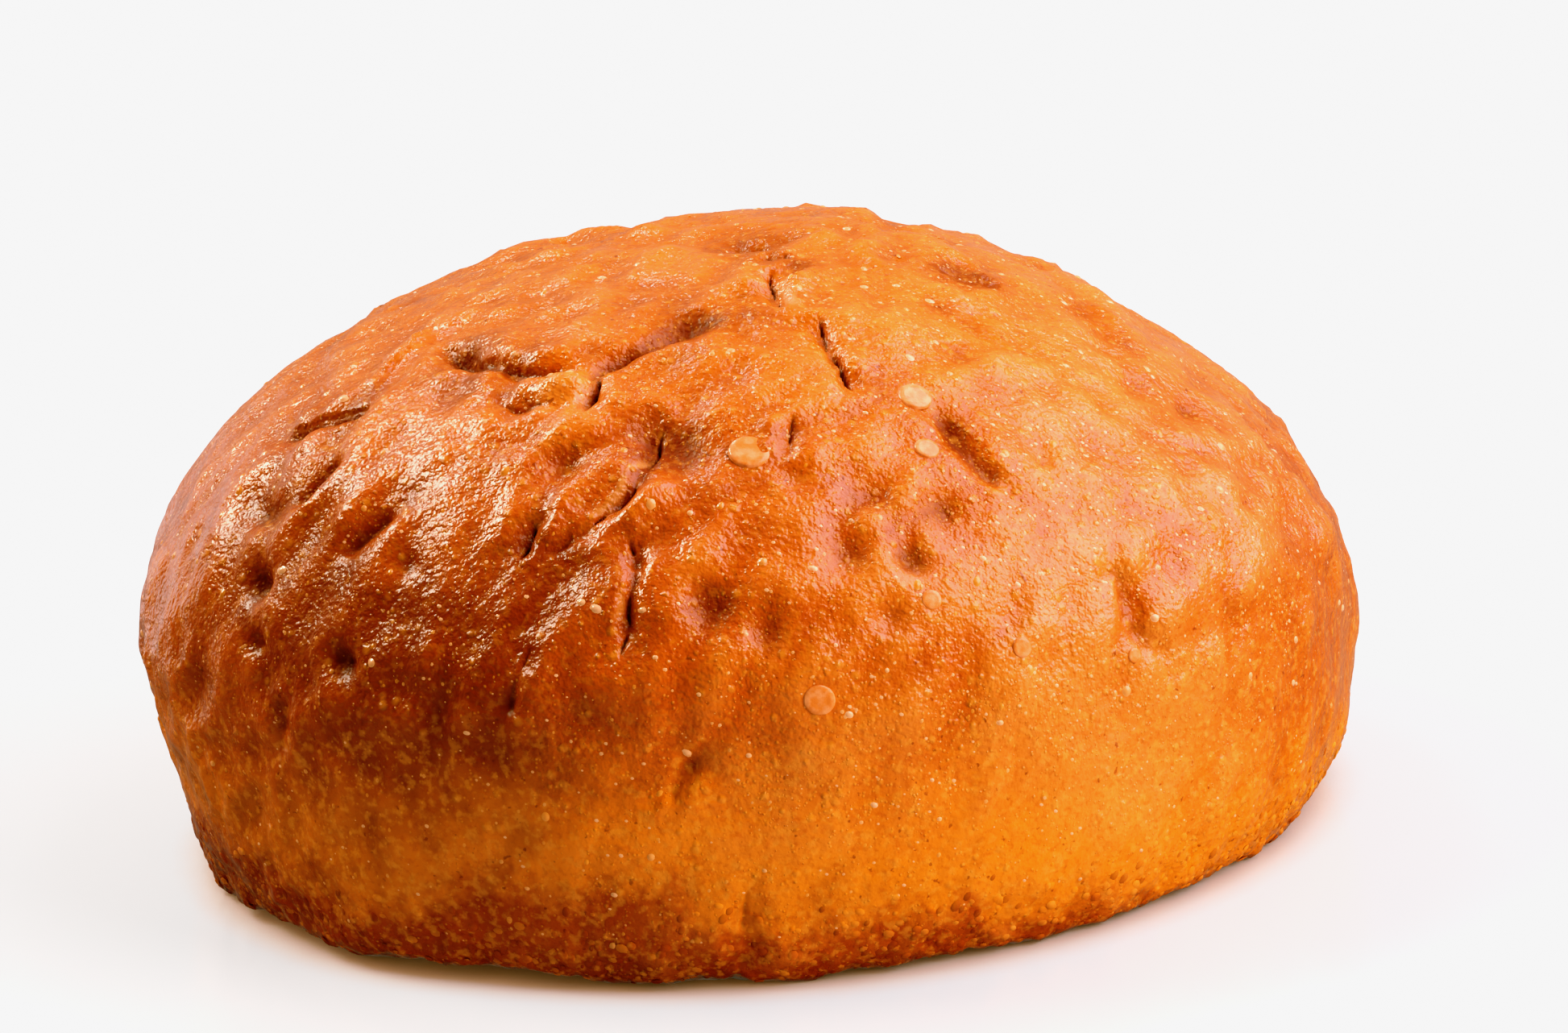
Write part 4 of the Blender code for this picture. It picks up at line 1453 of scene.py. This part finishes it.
# %% [markdown]
# ### Gloss and fine skin
#
# The glaze dries to a thin, hard gloss over a softer crust. The shader's coat is made for this: a second,
# smooth reflection over the first. The hollows, the froth and the brownest skin stay duller. The bubbles, a
# faint unevenness of the skin and a finer grain, weak on the wall and strong above it, go into the bump.
# The grain is what breaks the gloss up into sparks. Each bubble is also a little paler than the skin round
# it, because light passes through its thin wall.

# %% Crust material
SKIN_NOISE = 0.9 * MM
SKIN_NOISE_HEIGHT = 0.16 * MM
SKIN_GRAIN = 0.42 * MM
SKIN_GRAIN_HEIGHT = 0.13 * MM
GRAIN_BY_HEIGHT = (13 * MM, 22 * MM, 0.3 * SKIN_GRAIN_HEIGHT, SKIN_GRAIN_HEIGHT)
CRUST_SPECULAR = 0.18
CRUST_COAT, CRUST_COAT_ROUGHNESS = 1.0, 0.20
FROTH_PALENESS, BEAD_PALENESS = 0.45, 0.4
DULL_PATCH = 2.4 * MM
ROUGHNESS_BY_DULLNESS = (0.35, 0.75, 0.32, 0.5)
COAT_LOST_IN_HOLLOWS, COAT_LOST_IN_FROTH = 0.5, 0.3
COAT_LOST_BY_BROWN = (0.1, 0.7, 0, 0.4)


def skin_bump(tree, place_socket, froth, beads):
    """The fine relief of the skin, as a normal. The heights are in metres."""
    noise_height = number(tree, "MULTIPLY", grain(tree, place_socket, SKIN_NOISE, 3), SKIN_NOISE_HEIGHT)
    grains = grain(tree, place_socket, SKIN_GRAIN, 1)
    height = number(tree, "MULTIPLY_ADD", grains, following(tree, "height", GRAIN_BY_HEIGHT), noise_height)
    height = number(tree, "MULTIPLY_ADD", froth, FROTH.height, height)
    height = number(tree, "MULTIPLY_ADD", beads, BEADS.height, height)
    return add_node(tree, "Bump", {"Height": height, "Distance": 1.0}).outputs["Normal"]


def glazed(name, coat, coat_roughness):
    """A new material with a coat of glaze."""
    material = bpy.data.materials.new(name)
    material.use_nodes = True
    shader = material.node_tree.nodes["Principled BSDF"]
    shader.inputs["Specular IOR Level"].default_value = CRUST_SPECULAR
    shader.inputs["Coat Weight"].default_value = coat
    shader.inputs["Coat Roughness"].default_value = coat_roughness
    return material, material.node_tree, shader


def baked_crust():
    """Glazed, baked crust with bubbles in the glaze."""
    material, tree, shader = glazed("baked crust", CRUST_COAT, CRUST_COAT_ROUGHNESS)
    point = add_node(tree, "TexCoord").outputs["Object"]
    froth, beads = foam(tree, point, FROTH), foam(tree, point, BEADS)
    paler = number(tree, "MULTIPLY", beads, BEAD_PALENESS)
    paler = number(tree, "MULTIPLY_ADD", froth, FROTH_PALENESS, paler)
    tree.links.new(crust_colour(tree, point, paler), shader.inputs["Base Color"])
    dullness = number(tree, "MAXIMUM", stored(tree, "hollow"), grain(tree, point, DULL_PATCH))
    tree.links.new(between(tree, dullness, *ROUGHNESS_BY_DULLNESS), shader.inputs["Roughness"])
    lost = number(tree, "MULTIPLY", stored(tree, "froth"), COAT_LOST_IN_FROTH)
    lost = number(tree, "MULTIPLY_ADD", stored(tree, "hollow"), COAT_LOST_IN_HOLLOWS, lost)
    lost = number(tree, "ADD", lost, following(tree, "brown", COAT_LOST_BY_BROWN))
    tree.links.new(number(tree, "SUBTRACT", 1.0, lost), shader.inputs["Coat Weight"])
    relief = skin_bump(tree, point, froth, beads)
    tree.links.new(relief, shader.inputs["Normal"])
    tree.links.new(relief, shader.inputs["Coat Normal"])
    return material


crust_mesh.materials.append(baked_crust())
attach(crust, "root")
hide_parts("bun")
print("crust material:", len(crust_mesh.materials[0].node_tree.nodes), "nodes")

# %% [markdown]
# ## Bubbles
#
# Steam lifts the glaze into thousands of bubbles, most of them a few tenths of a millimetre across. They
# are what makes this crust look alive: each has a glint of its own. A particle system would scatter them
# too, but a part that leaves Blender keeps only meshes. So all bubbles of a kind are made as one joined
# mesh: a little dome is copied to random places on the crust, sunk a little into it, and turned to stand on
# it.

# %% Scatter and domes
STRETCH = 1.2
DOME_ASKEW = (0.31, 0.47, 0.83)
SINK = 0.2


def dome_shape(sides, profile):
    """Points and faces of a dome that stands on z = 0, ring by ring up to its tip at z = 1.

    The profile gives each ring's reach and height, both as shares of the dome's radius and height.
    """
    points, faces = [], []
    for reach, height in profile:
        turns = [math.tau * k / sides for k in range(sides)]
        points += [(reach * math.cos(t), reach * math.sin(t), height) for t in turns]
    points.append((0, 0, 1))
    for ring in range(len(profile) - 1):
        low, high = ring * sides, (ring + 1) * sides
        faces += [
            (low + k, low + (k + 1) % sides, high + (k + 1) % sides, high + k) for k in range(sides)
        ]
    last = (len(profile) - 1) * sides
    faces += [(last + k, last + (k + 1) % sides, len(points) - 1) for k in range(sides)]
    return np.array(points), faces


class Places(NamedTuple):
    """Places on the crust: points, the normals there, and the numbers for the colours."""

    points: np.ndarray
    normals: np.ndarray
    numbers: dict

    def kept(self, keep):
        """Only the places that keep says."""
        return Places(
            self.points[keep], self.normals[keep], {n: v[keep] for n, v in self.numbers.items()}
        )


def scattered_places(count, seed):
    """Random places on the crust, spread evenly by area. Each also gets a tint from 0 to 1 of its own."""
    draw = np.random.default_rng(seed)
    crust_mesh.calc_loop_triangles()
    corners = np.empty(len(crust_mesh.loop_triangles) * 3, int)
    crust_mesh.loop_triangles.foreach_get("vertices", corners)
    corners = corners.reshape(-1, 3)
    points = np.empty(len(crust_mesh.vertices) * 3)
    crust_mesh.vertices.foreach_get("co", points)
    points = points.reshape(-1, 3)
    normals = np.array([v.vector for v in crust_mesh.vertex_normals])
    a, b, c = (points[corners[:, k]] for k in range(3))
    areas = np.linalg.norm(np.cross(b - a, c - a), axis=1)
    picked = corners[draw.choice(len(corners), count, p=areas / areas.sum())]
    shares = draw.dirichlet((1, 1, 1), count)
    blend = {n: (np.asarray(v)[picked] * shares).sum(1) for n, v in colour_numbers.items()}
    blend["tint"] = draw.random(count)
    return Places(
        (points[picked] * shares[:, :, None]).sum(1),
        unit((normals[picked] * shares[:, :, None]).sum(1)),
        blend,
    )


def add_domes(name, places, radii, heights, shape, material, sink=SINK):
    """One joined mesh with a dome at each place, which rides with the bun.

    No dome is quite round: each is stretched one way and squeezed the other by its own tint.
    """
    template, faces = shape
    stretch = (STRETCH ** (2 * places.numbers["tint"] - 1))[:, None, None]
    side = unit(np.cross(places.normals, DOME_ASKEW))
    front = np.cross(places.normals, side)
    along = [axis[:, None, :] * template[None, :, k, None] for k, axis in enumerate((side, front))]
    rise = places.normals[:, None, :] * (template[None, :, 2, None] - sink)
    spread = (along[0] * stretch + along[1] / stretch) * radii[:, None, None]
    points = places.points[:, None, :] + spread
    points = points + rise * heights[:, None, None]
    fits = ((points >= LOWEST) & (points <= HIGHEST)).all((1, 2))
    points, count = points[fits], int(fits.sum())
    size = len(template)
    mesh = bpy.data.meshes.new(name)
    joined = [[k + size * i for k in face] for i in range(count) for face in faces]
    mesh.from_pydata(points.reshape(-1, 3), [], joined)
    mesh.shade_smooth()
    store_numbers(mesh, {n: np.repeat(v[fits], size) for n, v in places.numbers.items()})
    mesh.materials.append(material)
    piece = bpy.data.objects.new(name, mesh)
    scene.collection.objects.link(piece)
    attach(piece, "root")
    mesh.calc_loop_triangles()
    print(name + ":", count, "domes,", len(mesh.loop_triangles), "triangles")
    return piece


trial = scattered_places(1000, seed=1)
print("a thousand trial places, lowest", round(trial.points[:, 2].min() / MM, 2), "mm")

# %% [markdown]
# ### Fine bubbles
#
# The fine ones crowd together in drifts. Noise thins them between the drifts, and few sit in the creases,
# on the wall or on the underside. Their sizes are drawn so that small ones are common and large ones rare,
# as in any froth.

# %% Fine bubbles
FINE_TRIALS = 26000
FINE_RADII, FINE_CROWDING = (0.08 * MM, 0.20 * MM), 1.7
FINE_HEIGHT = 0.2
FINE_SIDES = 6
FINE_PROFILE = [(1.0, 0.0), (0.6, 0.56)]
FINE_ON_WALL = 0.5
FOOT_START, FOOT_END = 2.0 * MM, 9.0 * MM
WALL_FROTH_TOP, WALL_FROTH_FADE = 14 * MM, 8 * MM
BETWEEN_DRIFTS, LOST_IN_HOLLOWS = 0.3, 0.8


def thinned(places, seed, on_wall):
    """The places that remain after thinning between the drifts, in hollows, on the wall and near the foot."""
    draw = np.random.default_rng(seed)
    share = BETWEEN_DRIFTS + (1 - BETWEEN_DRIFTS) * places.numbers["froth"]
    share *= 1 - LOST_IN_HOLLOWS * places.numbers["hollow"]
    share *= 1 - places.numbers["core"]
    height = places.points[:, 2]
    share *= on_wall + (1 - on_wall) * ease((height - WALL_FROTH_TOP) / WALL_FROTH_FADE)
    share *= ease((height - FOOT_START) / (FOOT_END - FOOT_START))
    return places.kept(draw.random(len(share)) < share)


def drawn_radii(places, limits, crowding, seed):
    """A radius between the limits for each place, most of them near the lower one."""
    low, high = limits
    return low + (high - low) * np.random.default_rng(seed).random(len(places.points)) ** crowding


fine_places = thinned(scattered_places(FINE_TRIALS, seed=3), seed=4, on_wall=FINE_ON_WALL)
fine_radii = drawn_radii(fine_places, FINE_RADII, FINE_CROWDING, seed=5)
print(len(fine_places.points), "places for fine bubbles")

# %% [markdown]
# The wall of a bubble is thin glaze. It is smoother than the crust, and paler by chance: some bubbles
# hardly show and some are nearly as pale as the dough inside.

# %% Bubble glaze
BUBBLE_PALE = (0.88, 0.42, 0.24)
BUBBLE_COAT, BUBBLE_COAT_ROUGHNESS = 1.0, 0.06
BUBBLE_PALENESS = 0.5
BUBBLE_ROUGHNESS = (0.25, 0.5)
PALE_BY_TINT = (0, 1, 0.0, 0.7)
ROUGHNESS_GRAIN = 0.4 * MM
GRAIN_LEVELS = (0.3, 0.7)


def vary_roughness(tree, point, shader, low, high):
    """Lets the roughness wander between two values, from grain to grain."""
    roughness = between(tree, grain(tree, point, ROUGHNESS_GRAIN), *GRAIN_LEVELS, low, high)
    tree.links.new(roughness, shader.inputs["Roughness"])


def bubble_glaze():
    """Thin glaze, a little paler than the crust and glassy."""
    material, tree, shader = glazed("bubble glaze", BUBBLE_COAT, BUBBLE_COAT_ROUGHNESS)
    point = add_node(tree, "TexCoord").outputs["Object"]
    colour = crust_colour(tree, point, BUBBLE_PALENESS)
    colour = mixed(tree, following(tree, "tint", PALE_BY_TINT), colour, BUBBLE_PALE)
    tree.links.new(colour, shader.inputs["Base Color"])
    vary_roughness(tree, point, shader, *BUBBLE_ROUGHNESS)
    return material


bubble_skin = bubble_glaze()
fine_dome = dome_shape(FINE_SIDES, FINE_PROFILE)
add_domes("fine_bubbles", fine_places, fine_radii, fine_radii * FINE_HEIGHT, fine_dome, bubble_skin)

# %% [markdown]
# ### Larger bubbles
#
# Among them stand larger ones, half a millimetre and more across. The skin over them is thick enough to
# round the edge off, so their dome is a bell: it starts flat, rises and is flat again at its tip.

# %% Large bubbles
LARGE_TRIALS = 1700
LARGE_RADII, LARGE_CROWDING = (0.21 * MM, 0.52 * MM), 2.6
LARGE_HEIGHT = 0.34
LARGE_ON_WALL = 0.8
BELL_SIDES = 12
BELL_PROFILE = [(1.0, 0.0), (0.8, 0.14), (0.55, 0.62), (0.3, 0.92)]
large_places = thinned(scattered_places(LARGE_TRIALS, seed=6), seed=7, on_wall=LARGE_ON_WALL)
large_radii = drawn_radii(large_places, LARGE_RADII, LARGE_CROWDING, seed=8)
bell = dome_shape(BELL_SIDES, BELL_PROFILE)
add_domes("large_bubbles", large_places, large_radii, large_radii * LARGE_HEIGHT, bell, bubble_skin)

# %% [markdown]
# ### Grains at the foot
#
# Where the dough touched the tray it fried a little, and its skin broke up into grains of half a
# millimetre, some nearly clear and some dark. They stand side by side, so they are flat domes again, but
# larger and closer.

# %% Grains at the foot
GRAIN_TRIALS = 30000
GRAIN_RADII, GRAIN_CROWDING = (0.16 * MM, 0.48 * MM), 1.4
GRAIN_HEIGHT = 0.25
GRAIN_SIDES = 8
GRAIN_PROFILE = [(1.0, 0.0), (0.8, 0.5), (0.45, 0.9)]
GRAIN_ROUGHNESS = (0.35, 0.6)
GRAIN_TOP, GRAIN_EDGE = 9.0 * MM, 1.4
FACING_DOWN = -0.9
GRAIN_COAT, GRAIN_COAT_ROUGHNESS = 0.35, 0.2
CLEAR_BY_TINT = (0.4, 1.0, 0, 0.3)
DARK_BY_TINT = (0.4, 0.0, 0, 0.5)


def foot_places():
    """Places close together at the foot, thinner higher up."""
    places = scattered_places(GRAIN_TRIALS, seed=9)
    height = places.points[:, 2]
    share = ease(GRAIN_EDGE - GRAIN_EDGE * height / GRAIN_TOP) * (places.normals[:, 2] > FACING_DOWN)
    return places.kept(np.random.default_rng(seed=10).random(len(share)) < share)


def foot_grain():
    """Fried dough in grains: some nearly clear, some dark."""
    material, tree, shader = glazed("fried grain", GRAIN_COAT, GRAIN_COAT_ROUGHNESS)
    point = add_node(tree, "TexCoord").outputs["Object"]
    colour = crust_colour(tree, point, following(tree, "tint", CLEAR_BY_TINT))
    colour = mixed(tree, following(tree, "tint", DARK_BY_TINT), colour, DEEP_BROWN)
    tree.links.new(colour, shader.inputs["Base Color"])
    vary_roughness(tree, point, shader, *GRAIN_ROUGHNESS)
    return material


grain_places = foot_places()
grain_radii = drawn_radii(grain_places, GRAIN_RADII, GRAIN_CROWDING, seed=12)
grain_dome = dome_shape(GRAIN_SIDES, GRAIN_PROFILE)
add_domes("foot_grains", grain_places, grain_radii, grain_radii * GRAIN_HEIGHT, grain_dome, foot_grain())

# %% [markdown]
# ### Flat blisters
#
# Each large blister is a very flat dome on the smooth skin that was left for it. It is pale, because the
# air under it kept the heat off, and its edge is thin.

# %% Blisters
BLISTER_SKIN = (0.76, 0.175, 0.040)
BLISTER_PALE = (0.84, 0.27, 0.11)
BLISTER_COAT, BLISTER_COAT_ROUGHNESS = 0.7, 0.15
BLISTER_SIDES = 28
BLISTER_PROFILE = [(1.0, 0.0), (0.96, 0.6), (0.88, 1.0), (0.6, 0.9), (0.3, 0.95)]
ROUGHNESS_BY_VEIN = (0, 1, 0.35, 0.5)
BLISTER_TINTS = (0.35, 0.65)
BLISTER_RISE, BLISTER_RISE_SHARE = 0.1 * MM, 0.11
BLISTER_SINK = 0.35
VEINS = Speckle(0.7 * MM, 3, 0.35, 0.7, 0.0, 1.0)
WRINKLES, WRINKLE_HEIGHT = 0.5 * MM, 0.08 * MM


def blister_places():
    """The places of the blisters on the finished crust."""
    ways = ways_of([b.turn for b in BLISTERS], [b.rise for b in BLISTERS])
    tree = tree_of(crust)
    points = np.array([tree.ray_cast(Vector(HEART), Vector(way))[0] for way in ways])
    tints = np.random.default_rng(seed=14).uniform(*BLISTER_TINTS, len(BLISTERS))
    return Places(points, outward(ways), {"tint": tints})


def blister_skin():
    """Thin, pale, glossy skin with a few darker veins."""
    material, tree, shader = glazed("blister skin", BLISTER_COAT, BLISTER_COAT_ROUGHNESS)
    point = add_node(tree, "TexCoord").outputs["Object"]
    paler = speckled(tree, point, VEINS)
    tree.links.new(mixed(tree, paler, BLISTER_SKIN, BLISTER_PALE), shader.inputs["Base Color"])
    tree.links.new(between(tree, paler, *ROUGHNESS_BY_VEIN), shader.inputs["Roughness"])
    height = number(tree, "MULTIPLY", grain(tree, point, WRINKLES, 3), WRINKLE_HEIGHT)
    relief = add_node(tree, "Bump", {"Height": height, "Distance": 1.0}).outputs["Normal"]
    tree.links.new(relief, shader.inputs["Normal"])
    return material


blister_radii = np.array([b.radius for b in BLISTERS])
blister_heights = BLISTER_RISE + BLISTER_RISE_SHARE * blister_radii
flat_dome = dome_shape(BLISTER_SIDES, BLISTER_PROFILE)
skin = blister_skin()
add_domes("flat_blisters", blister_places(), blister_radii, blister_heights, flat_dome, skin, BLISTER_SINK)
